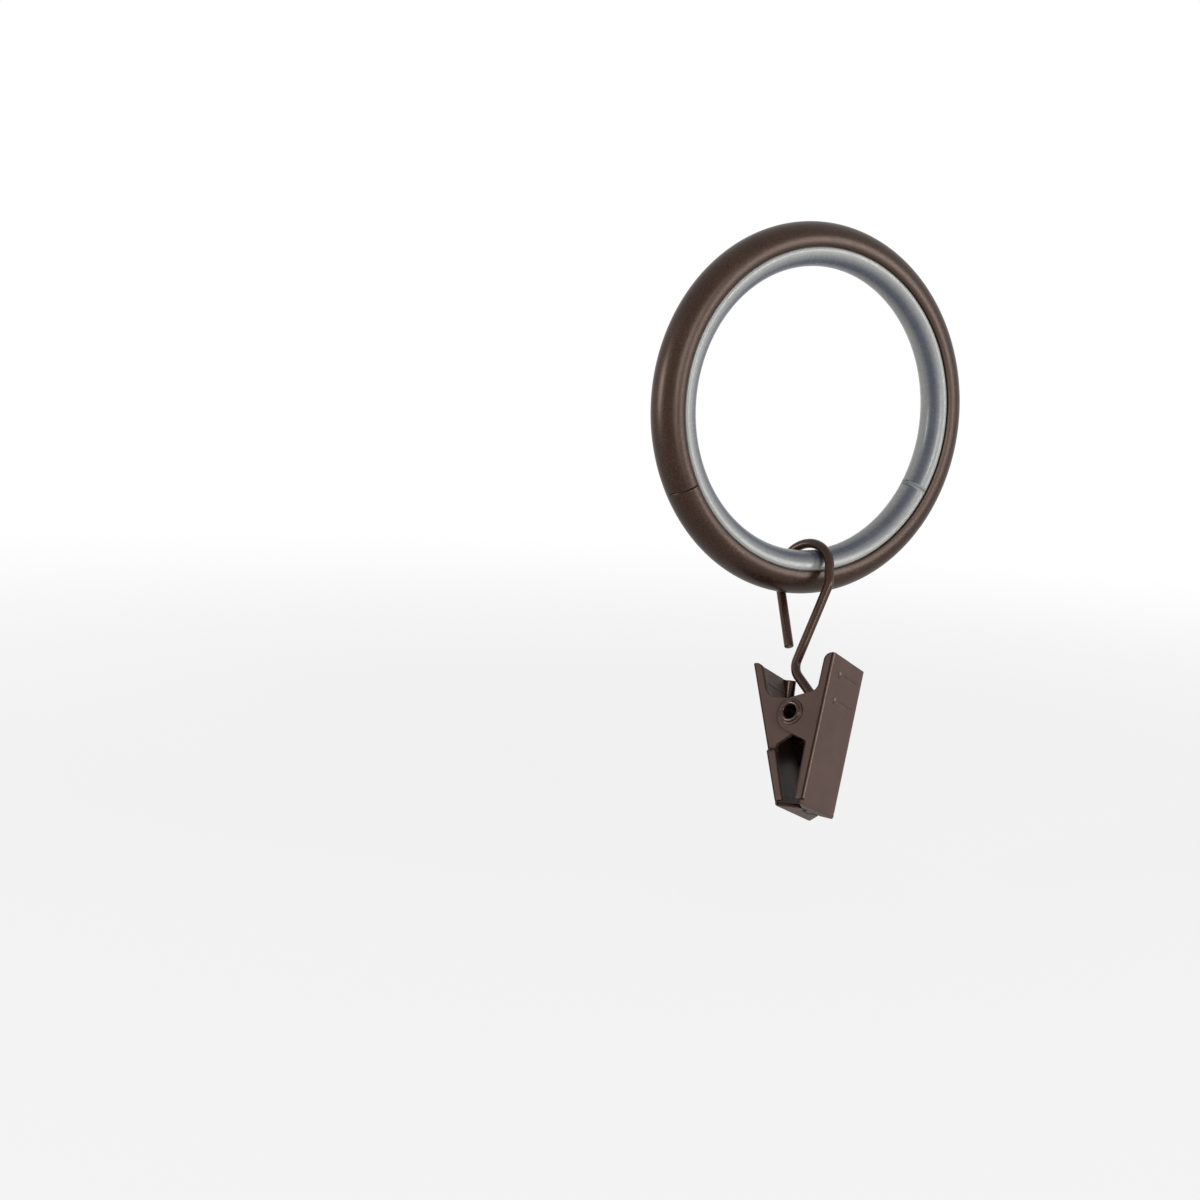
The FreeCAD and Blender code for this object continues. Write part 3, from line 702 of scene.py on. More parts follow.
@dataclass
class RolledRing:
    """Strip of metal rolled to a round section that is open towards the ring's centre."""

    outer_radius: float = 25.4
    tube_radius: float = 2.5
    wall: float = 0.5
    mouth: float = 67.0
    lip_round: float = 0.16
    seam_gap: float = 0.1
    seam: float = 62.0
    seam_wander: float = 0.35
    wander_reach: float = 3.0
    wander_rate: float = 1.7
    wander_start: float = 0.6
    seam_steps: tuple[float, ...] = (0.0, 0.001, 0.0022)
    plain_from: float = 0.004
    around: int = 288
    arc_points: int = 56
    corner_points: int = 5

    def section(self) -> Array:
        """Closed outline of the rolled strip, in distance from the axis and along it.

        A point lies at a radius and an angle round the tube's centre. The angle is counted
        from the direction to the ring's centre. Each lip is a rounded square end.

        Returns:
            The outline's points, the last of which is followed by the first.
        """
        outer, inner = self.tube_radius, self.tube_radius - self.wall
        soft = self.lip_round
        corner = np.linspace(0.0, np.pi / 2, self.corner_points)
        out_angle = np.radians(self.mouth) + soft / outer
        in_angle = np.radians(self.mouth) + soft / inner
        outside = np.linspace(out_angle, 2 * np.pi - out_angle, self.arc_points)
        inside = np.linspace(2 * np.pi - in_angle, in_angle, self.arc_points)
        far_out = 2 * np.pi - out_angle + soft * np.sin(corner) / outer
        far_in = 2 * np.pi - in_angle + soft * np.cos(corner) / inner
        near_in = in_angle - soft * np.sin(corner) / inner
        near_out = out_angle - soft * np.cos(corner) / outer
        drop = soft * (1.0 - np.cos(corner))
        angles = np.concatenate([outside, far_out[1:], far_in[:-1], inside, near_in[1:],
                                 near_out[:-1]])
        radii = np.concatenate([np.full_like(outside, outer), (outer - drop)[1:],
                                (inner + drop[::-1])[:-1], np.full_like(inside, inner),
                                (inner + drop)[1:], (outer - drop[::-1])[:-1]])
        centre = self.outer_radius - self.tube_radius
        return np.stack([centre - radii * np.cos(angles), radii * np.sin(angles)], axis=-1)

    def surface(self) -> Sheet:
        """The outline turned about the ring's axis, from one end of the seam to the other.

        The seam's two ends lie along one slightly wavy line: an angle that changes as a sine
        of the place along the axis and fades out away from the seam. The steps round the
        ring are shares of the whole turn, close together at the seam and even elsewhere.

        Returns:
            The surface, open at the strip's two cut ends.
        """
        outline = self.section()
        half_gap = np.degrees(self.seam_gap / 2 / self.outer_radius)
        close = np.array(self.seam_steps)
        plain_steps = np.linspace(self.plain_from, 1.0 - self.plain_from, self.around)
        steps = np.concatenate([close, plain_steps, 1.0 - close[::-1]])
        sweep = half_gap + steps * (360.0 - 2 * half_gap)
        near = np.exp(-np.minimum(sweep, 360.0 - sweep) / self.wander_reach)[:, None]
        wave = np.sin(outline[:, 1] * self.wander_rate + self.wander_start)
        wander = self.seam_wander * wave[None, :] * near
        angle = np.radians(sweep[:, None] + wander - 90.0 - self.seam)
        return sheet_of(swept_about_axis(outline, angle), round_columns=True)

    def build(self) -> bpy.types.Object:
        """The ring's mesh, closed at the seam by the strip's cut ends.

        Returns:
            The new piece.
        """
        sheet = self.surface()
        caps = self.end_caps(len(self.section()), len(sheet.points))
        faces = np.concatenate([sheet.faces, caps])
        return make_piece("metal_ring_rolled", Sheet(sheet.points, faces))

    def end_caps(self, columns: int, total: int) -> Array:
        """Quads across the strip's two cut ends, between its outside and its inside.

        Args:
            columns: number of points of the outline.
            total: number of points of the surface.

        Returns:
            Array of four point numbers for each quad.
        """
        lip = self.corner_points - 1
        step = np.arange(columns // 2 - 1)
        near = (step - lip) % columns
        far = (columns - 2 * lip - 1 - step + lip) % columns
        quads = np.stack([near, (near + 1) % columns, (far - 1) % columns, far], axis=-1)
        return np.concatenate([quads, quads + total - columns])

    def dress(self, piece: bpy.types.Object) -> None:
        """Give the ring its coat and its place among the moving bodies."""
        dress_piece(piece, [RING_COAT.build()], Body.RING, "metal_ring")


@dataclass
class DomedLiner:
    """Plastic strip that fills the rolled ring and stands out of its mouth as a dome."""

    tube_centre: float = 22.9
    bore_radius: float = 19.4
    dome_half: float = 2.2
    shoulder: float = 21.893
    neck: float = 1.811
    channel: float = 1.97
    edge_round: float = 0.2
    slit: float = 0.12
    slit_angle: float = 60.0
    cap_middle: float = 22.3
    around: int = 288
    dome_points: int = 41
    body_points: int = 33
    edge_points: int = 4

    def section(self) -> tuple[Array, Array]:
        """Closed outline in distance from the axis and along it, and its marks.

        The dome is an arc from shoulder to shoulder over the bore, with rounded edges. The
        rest is a neck and a round body inside the metal. A mark runs from 0 at the front
        edge of the dome to 1 at the back.

        Returns:
            The outline's points, and a mark for each.
        """
        rise = self.shoulder - self.edge_round - self.bore_radius
        reach = self.dome_half
        radius = (reach ** 2 + rise ** 2) / (2 * rise)
        spread = np.arcsin(reach / radius)
        angle = np.linspace(-spread, spread, self.dome_points)
        dome = np.stack([self.bore_radius + radius * (1 - np.cos(angle)),
                         radius * np.sin(angle)], axis=-1)
        turn = np.linspace(0.0, np.pi / 2, self.edge_points + 1)[1:]
        soft = self.edge_round
        back_edge = np.stack([self.shoulder - soft + soft * np.sin(turn),
                              reach - soft + soft * np.cos(turn)], axis=-1)
        throat = np.arcsin(self.neck / self.channel)
        sweep = np.linspace(throat, 2 * np.pi - throat, self.body_points)
        body = np.stack([self.tube_centre - self.channel * np.cos(sweep),
                         self.channel * np.sin(sweep)], axis=-1)
        neck = np.array([[self.shoulder, self.neck]])
        front = np.array([1.0, -1.0])
        outline = np.concatenate([dome, back_edge, neck, body, neck * front,
                                  back_edge[::-1] * front])
        marks = np.concatenate([
            np.linspace(0.0, 1.0, self.dome_points), np.ones(self.edge_points + 1),
            np.linspace(1.0, 0.0, self.body_points), np.zeros(self.edge_points + 1)])
        return outline, marks

    def build(self) -> bpy.types.Object:
        """The outline turned about the ring's axis, from one side of the slit to the other.

        Returns:
            The new piece, whose two ends at the slit are closed by fans.
        """
        outline, marks = self.section()
        half_slit = np.degrees(self.slit / 2 / self.bore_radius)
        steps = np.linspace(0.0, 1.0, self.around)
        sweep = half_slit + steps * (360.0 - 2 * half_slit)
        angle = np.radians(sweep - 90.0 + self.slit_angle)[:, None]
        grid = swept_about_axis(outline, angle)
        between_ends = np.ones((len(sweep), 1))
        between_ends[[0, -1]] = 0.0
        sheet = sheet_of(grid, marks[None, :] * between_ends, round_columns=True)
        for row in (0, -1):
            heading = np.array([np.cos(angle[row, 0]), 0.0, np.sin(angle[row, 0])])
            spot = np.broadcast_to(heading * self.cap_middle, grid[row].shape)
            sheet = sheet.joined(sheet_of(np.stack([grid[row], spot]), np.zeros((2, len(marks))),
                                          round_columns=True))
        return make_piece("ring_liner_domed", sheet, mark=LINER.across)

    def dress(self, piece: bpy.types.Object) -> None:
        """Give the liner its plastic and its place among the moving bodies."""
        dress_piece(piece, [LINER.build()], Body.RING, "ring_liner")


@dataclass
class Hang:
    """How the hook and the clip hang below the ring."""

    yaw: float = 24.4
    pitch: float = 23.6
    roll: float = -15.1
    eye_skew: float = 8.0
    section_middle: float = 22.4
    eye_drop: float = 20.7
    eye_offset: float = 2.0

    def rotation(self) -> Array:
        """Turn of the clip: roll about X, then pitch about Y, then yaw about Z."""
        return turn_about(2, self.yaw) @ turn_about(1, self.pitch) @ turn_about(0, self.roll)

    def hook_frame(self) -> tuple[Array, Array]:
        """Rotation and origin of the hook, whose origin is the centre of its arch."""
        arch_centre = np.array([0.0, 0.0, -self.section_middle])
        return self.rotation() @ turn_about(2, -self.eye_skew), arch_centre

    def clip_frame(self) -> tuple[Array, Array]:
        """Rotation and origin of the clip, whose origin is the middle of its pin."""
        offset = self.rotation() @ np.array([self.eye_offset, 0.0, -self.eye_drop])
        return self.rotation(), np.array([0.0, 0.0, -self.section_middle]) + offset


@dataclass
class WireHook:
    """One bent wire: free leg, arch over the ring, stem, waist, eye round the pin, tail."""

    hang: Hang
    wire: float = 1.3
    arch: float = 4.15
    leg_lean: float = 11.0
    leg_length: float = 9.9
    stem_drop: float = 2.5
    stem_lean: float = 26.0
    stem_bend: float = 2.0
    waist_drop: float = 13.84
    waist_bend: float = 2.3
    eye: float = 3.05
    eye_turn: float = 231.0
    eye_tilt: float = 12.0
    tail: float = 4.8
    end_round: float = 0.12
    sides: int = 32
    arch_points: int = 49
    eye_points: int = 57
    bend_points: int = 17
    straight_points: int = 9

    def bend(self, before: Array, corner: Array, after: Array, radius: float) -> Array:
        """Points of the arc that is tangent to both runs at a corner.

        Args:
            before: point that the first run comes from.
            corner: point where the runs would meet.
            after: point that the second run goes to.
            radius: radius of the bend.

        Returns:
            The arc's points.
        """
        inward, onward = unit(corner - before), unit(after - corner)
        turn = np.arccos(np.clip(inward @ onward, -1.0, 1.0))
        begin = corner - inward * radius * np.tan(turn / 2)
        axis = unit(np.cross(inward, onward))
        centre = begin + np.cross(axis, inward) * radius
        return arc_points(begin, centre, axis, np.degrees(turn), self.bend_points)

    def route(self) -> Array:
        """Centre line in the hook's frame, from the end of the free leg to the tail's end.

        Returns:
            Points of the centre line.
        """
        pin = np.array([1.0, 0.0, 0.0])
        lean = np.radians(self.leg_lean)
        leg_top = self.arch * np.array([0.0, np.cos(lean), -np.sin(lean)])
        leg_end = leg_top - self.leg_length * np.array([0.0, np.sin(lean), np.cos(lean)])
        arch_end = np.array([0.0, -self.arch, 0.0])
        over = arc_points(leg_top, np.zeros(3), pin, 180.0 + self.leg_lean, self.arch_points)
        fall = self.waist_drop - self.stem_drop
        stem = np.array([0.0, -self.arch, -self.stem_drop])
        waist = stem + np.array([0.0, fall * np.tan(np.radians(self.stem_lean)), -fall])
        pivot = np.array([0.0, 0.0, -self.hang.eye_drop])
        to_pivot = pivot - waist
        far = np.linalg.norm(to_pivot)
        half = np.degrees(np.arcsin(self.eye / far))
        heading = turn_about(0, -half) @ to_pivot / far
        eye_start = waist + heading * far * np.cos(np.radians(half))
        eye = arc_points(eye_start, pivot, pin, self.eye_turn, self.eye_points)
        tail_end = eye[-1] + turn_about(0, self.eye_turn) @ heading * self.tail
        straight = self.straight_points
        curl = np.concatenate([eye, line_points(eye[-1], tail_end, straight)[1:]])
        tilt = np.radians(self.eye_tilt)
        arms = curl - eye_start
        side = np.cross(heading, arms)
        ahead = (arms @ heading)[:, None] * heading
        curl = eye_start + ahead + (arms - ahead) * np.cos(tilt) + side * np.sin(tilt)
        stem_arc = self.bend(arch_end, stem, waist, self.stem_bend)
        waist_arc = self.bend(stem, waist, eye_start, self.waist_bend)
        return np.concatenate([
            line_points(leg_end, leg_top, straight)[:-1], over, stem_arc,
            line_points(stem_arc[-1], waist_arc[0], straight)[1:-1], waist_arc,
            line_points(waist_arc[-1], eye_start, straight // 2)[1:-1], curl])

    def build(self) -> bpy.types.Object:
        """The wire's circle carried along the centre line, with softened cut ends."""
        tube = carried_circle(self.route(), self.wire / 2, self.sides,
                              np.array([1.0, 0.0, 0.0]), self.end_round)
        return make_piece("hook_wire_bent", tube.placed(*self.hang.hook_frame()))

    def dress(self, piece: bpy.types.Object) -> None:
        """Give the wire its coat and its place among the moving bodies."""
        dress_piece(piece, [WIRE_COAT.build()], Body.HOOK, "hook_wire")


@dataclass
class Jaw:
    """Pressed sheet jaw in the clip's frame, made for the +Y side and mirrored for -Y.

    Heights are above the pin. The sheet's outside runs from the free edge of one side
    flange round a bend, over the back plate and round the other bend. A nested jaw lies on
    the +Y side, and its sides step in above the lip so that its ears fit between the other's.
    The fields that end in points, rows, rings, columns or gap set how fine the grid is.
    """

    name: str
    node: str
    body: Body
    nested: bool
    half_width: float = 4.95
    nested_half: float = 4.4
    sheet: float = 0.5
    bend: float = 0.4
    top: float = 7.5
    top_spread: float = 6.2
    tip: float = -12.35
    tip_spread: float = 1.95
    handle_flange: float = 1.36
    handle_round: float = 1.1
    leg_flange_top: float = 1.46
    leg_flange_tip: float = 1.24
    ear_radius: float = 2.35
    ear_shift: float = 0.25
    ear_lift: float = 0.35
    ear_begin: float = 99.5
    ear_end: float = 240.0
    ear_top: float = 2.62
    ear_sweep: float = 1.2
    ear_foot: float = -4.1
    foot_round: float = 0.5
    flange_end: float = -11.6
    slot: float = 0.25
    hole: float = 1.29
    step_top: float = -4.5
    step_height: float = 0.5
    lip_meet: float = 0.45
    tooth_reach: float = 0.3
    tooth_gap: float = 0.2
    tooth_slope: float = 0.02
    tooth_count: int = 5
    groove_near: float = -1.25
    groove_far: float = 3.45
    groove_depth: float = 0.08
    groove_half: float = 0.26
    groove_end: float = 0.3
    grip_heights: tuple[float, float] = (5.3, 1.85)
    pip_place: float = -2.2
    pip_reach: float = 0.34
    pip_height: float = 0.2
    pip_roundness: float = 0.8
    dimple_drop: float = 0.42
    dimple_reach: float = 0.4
    dimple_depth: float = 0.16
    block_half: float = 1.62
    block_inner: float = 0.42
    block_outer: float = 0.94
    lip_half: float = 2.6
    # Strengths of painted shade along the flange's free edge, across the step, in the dimples and
    # in the grooves.
    edge_shade: float = 0.2
    step_shade: float = 0.7
    dimple_shade: float = 0.6
    groove_shade: float = 0.3
    # Bells over each bend: painted highlight beside the plate, painted shade beside the flange.
    painted_highlight_at: float = 72.0
    painted_highlight_spread: float = 18.0
    painted_shade_at: float = 24.0
    painted_shade_spread: float = 25.0
    ear_points: int = 41
    corner_points: tuple[int, int, int] = (13, 15, 7)
    bend_points: int = 7
    grip_reach: float = 0.5
    grip_rows: int = 25
    step_rows: int = 11
    hole_rows: int = 17
    hole_rings: int = 5
    plain_rows: int = 39
    row_gap: float = 0.012
    pip_run: float = 0.42
    pip_columns: int = 19
    end_columns: int = 7
    plain_columns: int = 19
    column_gap: float = 0.02
    fixed_gap: float = 0.03
    flange_columns: tuple[int, int, int] = (3, 13, 7)
    margin: float = 0.1
    ease_width: float = 0.05
    ease_steps: int = 2
    ease_from: float = 50.0

    def plate(self, height: Array | float) -> Array | float:
        """Outside of the back plate: a straight slope between the spreads at top and tip."""
        slope = (self.top_spread - self.tip_spread) / (self.top - self.tip)
        return self.tip_spread + slope * (height - self.tip)

    def width(self, height: Array) -> Array:
        """Half width: the full one, or eased in to the nested one above the step.

        Args:
            height: heights above the pin.

        Returns:
            The half widths there.
        """
        if not self.nested:
            return np.full_like(height, self.half_width)
        part = ease((height - self.step_top + self.step_height) / self.step_height)
        return self.half_width + (self.nested_half - self.half_width) * part

    def spot(self, height: float, inside: float) -> Array:
        """Point (Y, height) at a distance inside the back plate's outside."""
        return np.array([self.plate(height) - inside, height])

    def edge_line(self) -> Array:
        """Free edge of a side flange as (Y, height) points from the top to the foot.

        Straight lines run between the corners of the outline, with an arc at the handle's
        top, a hollow arc into the ear, the ear's own arc and a small arc into the leg.

        Returns:
            The edge's points, whose heights fall.
        """
        handle = self.spot(self.ear_top, self.handle_flange)
        crown, back = self.spot(self.top, self.handle_flange), self.spot(self.top, self.bend)
        foot = self.spot(self.ear_foot, self.leg_flange_top)
        end = self.spot(self.flange_end, self.leg_flange_tip)
        turn = np.radians(np.linspace(self.ear_begin, self.ear_end, self.ear_points))[:, None]
        middle = np.array([self.ear_shift, -self.ear_lift])
        ear = middle + self.ear_radius * np.concatenate([np.cos(turn), np.sin(turn)], axis=1)
        crown_points, sweep_points, foot_points = self.corner_points
        return np.concatenate([
            self.corner(back, crown, handle, self.handle_round, crown_points),
            self.corner(crown, handle, ear[0], self.ear_sweep, sweep_points), ear,
            self.corner(ear[-1], foot, end, self.foot_round, foot_points), end[None]])

    @staticmethod
    def corner(before: Array, corner: Array, after: Array, radius: float, count: int) -> Array:
        """Points of the arc that rounds a corner between two lines.

        Args:
            before: point that the first line comes from.
            corner: point where the lines meet.
            after: point that the second line goes to.
            radius: radius of the arc.
            count: number of points.

        Returns:
            The arc's points.
        """
        inward, onward = unit(corner - before), unit(after - corner)
        turn = np.arccos(np.clip(inward @ onward, -1.0, 1.0))
        reach = radius * np.tan(turn / 2)
        hand = np.sign(inward[0] * onward[1] - inward[1] * onward[0])
        begin = corner - inward * reach
        centre = begin + hand * radius * np.array([-inward[1], inward[0]])
        angles = hand * np.linspace(0.0, turn, count)
        arm = begin - centre
        return centre + np.stack([arm[0] * np.cos(angles) - arm[1] * np.sin(angles),
                                  arm[0] * np.sin(angles) + arm[1] * np.cos(angles)], axis=-1)

    def build_surface(self) -> Sheet:
        """Outside of the whole jaw: flanges with their holes, bends, plate and lip.

        Returns:
            The surface, not yet merged where its parts meet.
        """
        edge = self.edge_line()
        heights = self.row_heights(edge)
        free = np.interp(-heights, -edge[:, 1], edge[:, 0])
        flange = self.flange(heights, free)
        sides = flange.joined(flange.mirrored(0))
        return sides.joined(self.back(heights)).joined(self.lip())

    def row_heights(self, edge: Array) -> Array:
        """Heights of the rows: the edge's own points, a fine run at each grip, the rest.

        Args:
            edge: points of the free edge.

        Returns:
            The heights, from the top down.
        """
        fine = [np.linspace(height - self.grip_reach, height + self.grip_reach, self.grip_rows)
                for height in self.grip_heights]
        step = np.linspace(self.step_top - self.step_height - self.margin,
                           self.step_top + self.margin, self.step_rows)
        coarse = np.linspace(self.flange_end, self.top, self.plain_rows)
        hole = np.linspace(-self.block_half, self.block_half, self.hole_rows)
        rows = np.unique(np.round(np.concatenate([edge[:, 1], *fine, step, coarse, hole]), 4))
        keep = np.concatenate([[True], np.diff(rows) > self.row_gap])
        fixed = np.isin(rows, np.round(np.concatenate([edge[:, 1], [self.top], hole]), 4))
        return rows[keep | fixed][::-1]

    def flange(self, heights: Array, free: Array) -> Sheet:
        """One side flange at -X, from its free edge to the bend.

        A point is a share of the way from the free edge to the bend at its height. Round
        the rivet's hole a block of the grid is left out, and the gap is filled by straight
        lines from the block's edge points to the points of the circle in their directions.
        The marks are painted shade: a bell that falls off with the distance from the free edge,
        and so it does with the height above and below the step.

        Args:
            heights: heights of the rows.
            free: Y of the free edge at each.

        Returns:
            The flange, with its marks.
        """
        begin, stop = 1 - self.block_outer, 1 - self.block_inner
        outer, block, inner = (
            np.linspace(*ends, count) for ends, count in
            zip(((0.0, begin), (begin, stop), (stop, 1.0)), self.flange_columns))
        shares = np.concatenate([outer, block[1:], inner[1:]])
        bend_line = self.plate(heights) - self.bend
        across = free[:, None] + (bend_line - free)[:, None] * shares[None, :]
        grid = np.stack([np.broadcast_to(-self.width(heights)[:, None], across.shape), across,
                         np.broadcast_to(heights[:, None], across.shape)], axis=-1)
        rows = np.flatnonzero(np.abs(heights) <= self.block_half + SLACK)
        first, last = rows[0], rows[-1]
        low = len(outer) - 1
        high = low + len(block) - 1
        faces = grid_faces(*grid.shape[:2])
        row_of, column_of = faces[:, 0] // grid.shape[1], faces[:, 0] % grid.shape[1]
        inside = (row_of >= first) & (row_of < last) & (column_of >= low) & (column_of < high)
        rim = np.concatenate([grid[first, low:high], grid[first:last, high],
                              grid[last, high:low:-1], grid[last:first:-1, low]])
        ray = rim[:, 1:]
        circle = rim.copy()
        circle[:, 1:] = ray / np.linalg.norm(ray, axis=1, keepdims=True) * self.hole
        mixed = np.linspace(0.0, 1.0, self.hole_rings)[:, None, None]
        patch = rim[None] * (1 - mixed) + circle[None] * mixed
        # Painted shade along the free edge and across the step.
        from_edge = np.abs(across - free[:, None])
        dark = -np.exp(-(from_edge / self.edge_shade) ** 2)
        if self.nested:
            from_step = heights[:, None] - self.step_top + self.step_height / 2
            shade = self.step_shade * np.exp(-(from_step / self.step_height) ** 2)
            dark = np.minimum(dark, -shade)
        sheet = Sheet(grid.reshape(-1, 3), faces[~inside], dark.reshape(-1))
        return sheet.joined(sheet_of(patch, np.zeros(patch.shape[:2]), round_columns=True))

    def columns(self) -> tuple[Array, Array]:
        """Places across the plate between its bends, from -1 to 1, and those of the bends.

        Returns:
            The places, and the bends' angles in radians.
        """
        flat = self.half_width - self.bend
        pip = np.linspace(self.pip_place - self.pip_run, self.pip_place + self.pip_run,
                          self.pip_columns)
        run = np.linspace(-self.groove_end, self.groove_end, self.end_columns)
        ends = np.concatenate([self.groove_near + run, self.groove_far + run])
        teeth = self.tooth_columns()
        coarse = np.linspace(-flat, flat, self.plain_columns)[1:-1]
        loose = np.unique(np.round(np.concatenate([pip, ends, coarse]), 3))
        loose = loose[np.concatenate([[True], np.diff(loose) > self.column_gap])]
        fixed = np.concatenate([teeth, [-self.lip_half, self.lip_half, -flat, flat]])
        apart = np.min(np.abs(loose[:, None] - fixed[None, :]), axis=1)
        places = np.sort(np.concatenate([loose[apart > self.fixed_gap], fixed]))
        return places / flat, np.radians(np.linspace(0.0, 90.0, self.bend_points))

    def relief(self, across: Array, heights: Array) -> tuple[Array, Array]:
        """Pressed grooves and raised pips at each grip of the plate.

        A groove is a cosine trough with eased ends. A pip is a round cap with a small dimple
        below it.

        Args:
            across: places along the pin.
            heights: heights above the pin.

        Returns:
            Height of the plate's face, and its marks: painted highlight on the pips, painted shade
            in the grooves and the dimples.
        """
        rise = np.zeros(np.broadcast(across, heights).shape)
        marks = np.zeros_like(rise)
        for grip in self.grip_heights:
            away = heights - grip
            trough = 0.5 * (1 + np.cos(np.pi * np.clip(away / self.groove_half, -1, 1)))
            begun = (across - self.groove_near + self.groove_end / 2) / self.groove_end
            left = (self.groove_far + self.groove_end / 2 - across) / self.groove_end
            trough = trough * ease(begun) * ease(left)
            distance = np.sqrt((across - self.pip_place) ** 2 + away ** 2)
            cap = np.clip(1 - (distance / self.pip_reach) ** 2, 0.0, 1.0)
            below = np.sqrt((across - self.pip_place) ** 2 + (away + self.dimple_drop) ** 2)
            dimple = ease(1 - below / self.dimple_reach)
            rise += self.pip_height * cap ** self.pip_roundness - self.dimple_depth * dimple
            rise -= self.groove_depth * trough
            # Painted highlight on the pip caps, painted shade in the dimples and the grooves.
            marks += cap - self.dimple_shade * dimple - self.groove_shade * trough
        return rise, marks

    def back(self, heights: Array) -> Sheet:
        """Bend, back plate and bend, from -X to +X, at each height.

        The bend is a quarter circle from the flange to the plate. The plate lies on the
        slope, lowered or raised by the grips' relief.

        Args:
            heights: heights of the rows.

        Returns:
            The surface, with its marks.
        """
        places, quarter = self.columns()
        flat = self.width(heights)[:, None] - self.bend
        level = self.plate(heights)[:, None]
        left_x = -flat - self.bend * np.cos(quarter)[None, :]
        left_y = level - self.bend + self.bend * np.sin(quarter)[None, :]
        middle_x = flat * places[None, :]
        rise, marks = self.relief(middle_x, heights[:, None])
        middle_y = level + rise
        x = np.concatenate([left_x[:, :-1], middle_x, -left_x[:, -2::-1]], axis=1)
        y = np.concatenate([left_y[:, :-1], middle_y, left_y[:, -2::-1]], axis=1)
        bend_mark = np.broadcast_to(self.bend_marks(quarter)[:-1], left_x[:, :-1].shape)
        marks = np.concatenate([bend_mark, marks, bend_mark[:, ::-1]], axis=1)
        z = np.broadcast_to(heights[:, None], x.shape)
        return sheet_of(np.stack([x, y, z], axis=-1), marks)

    def bend_marks(self, quarter: Array) -> Array:
        """Marks over a bend: a painted shade line beside the flange and a painted highlight line
        beside the plate.

        Each is a bell over the bend's angle, the first counted negative.

        Args:
            quarter: angles in radians, from the flange to the plate.

        Returns:
            The marks at those angles.
        """
        degrees = np.degrees(quarter)
        # Painted highlight near the plate, less painted shade near the flange.
        painted_highlight = np.exp(-((degrees - self.painted_highlight_at) / self.painted_highlight_spread) ** 2)
        return painted_highlight - np.exp(-((degrees - self.painted_shade_at) / self.painted_shade_spread) ** 2)

    def lip(self) -> Sheet:
        """Foot of the plate, its fold and the toothed lip.

        Rows go down the plate, round a quarter circle and in along the lip. The lip's sides
        lean in towards its edge, whose place steps between the teeth's roots and crests.
        The first rows are narrower, which leaves the slot below each flange.

        Returns:
            The surface, with marks of 0.
        """
        places, quarter = self.columns()
        narrow = (self.half_width - self.bend) * places
        heights = self.flange_end - self.slot * np.array([0.0, 0.5, 1.0])
        shape = (len(heights), len(narrow))
        neck = np.stack([np.broadcast_to(narrow, shape),
                         np.broadcast_to(self.plate(heights)[:, None], shape),
                         np.broadcast_to(heights[:, None], shape)], axis=-1)
        side = self.half_width - self.bend + self.bend * np.cos(quarter[:-1])
        x = np.concatenate([-side, narrow, side[::-1]])
        round_part = np.concatenate([np.sin(quarter[:-1]), np.ones(len(narrow)),
                                     np.sin(quarter[:-1])[::-1]])
        inset = self.bend * (1.0 - round_part)
        turn = np.linspace(0.0, np.pi / 2, self.bend_points)[:, None]
        level = self.plate(self.tip + self.bend)
        wall = self.plate(heights[-1:])[:, None] - inset[None, :]
        fold = level - inset[None, :] - self.bend * round_part[None, :] * (1.0 - np.cos(turn))
        end_x = np.clip(x, -self.lip_half, self.lip_half)
        inward = np.linspace(0.0, 1.0, self.bend_points)[1:, None]
        start = level - self.bend
        lip = start + (self.tooth_edge(end_x)[None, :] - start) * inward
        y = np.concatenate([wall, fold, lip])
        z = np.concatenate([heights[-1:], self.tip + self.bend * (1.0 - np.sin(turn[:, 0])),
                            np.full(len(inward), self.tip)])[:, None]
        straight = np.broadcast_to(x, (len(turn) + 1, len(x)))
        leaning = x[None, :] + (end_x - x)[None, :] * inward
        grid = np.stack([np.concatenate([straight, leaning]), y, np.broadcast_to(z, y.shape)],
                        axis=-1)
        return sheet_of(neck, np.zeros(shape)).joined(sheet_of(grid, np.zeros(y.shape)))

    def teeth(self) -> tuple[Array, float]:
        """Middles of this lip's teeth along the pin, and half the width of a tooth.

        The two lips take the places in turn: a nested jaw has the even ones, counted from 1.

        Returns:
            The middles, and the half width.
        """
        pitch = 2 * self.half_width / self.tooth_count
        number = np.arange(1 if self.nested else 0, self.tooth_count, 2)
        return (number - (self.tooth_count - 1) / 2) * pitch, pitch / 2 - self.tooth_gap

    def tooth_columns(self) -> Array:
        """Places of the teeth's sides along the pin, each as a close pair, inside the lip.

        Returns:
            The places, in no order.
        """
        middles, half = self.teeth()
        sides = np.concatenate([middles - half, middles + half])
        sides = sides[np.abs(sides) < self.lip_half - self.margin]
        return np.concatenate([sides - self.tooth_slope, sides + self.tooth_slope])

    def tooth_edge(self, x: Array) -> Array:
        """Place of the lip's free edge: the roots' line, less the reach where a tooth is.

        Args:
            x: places along the pin.

        Returns:
            Y of the edge at each.
        """
        middles, half = self.teeth()
        nearest = np.min(np.abs(x[:, None] - middles[None, :]), axis=1)
        inside = half + self.tooth_slope - nearest
        part = np.clip(inside / (2 * self.tooth_slope), 0.0, 1.0)
        meet = -self.lip_meet if self.nested else self.lip_meet
        root = meet + self.tooth_reach + self.tooth_gap / 2
        return root - 2 * self.tooth_reach * part

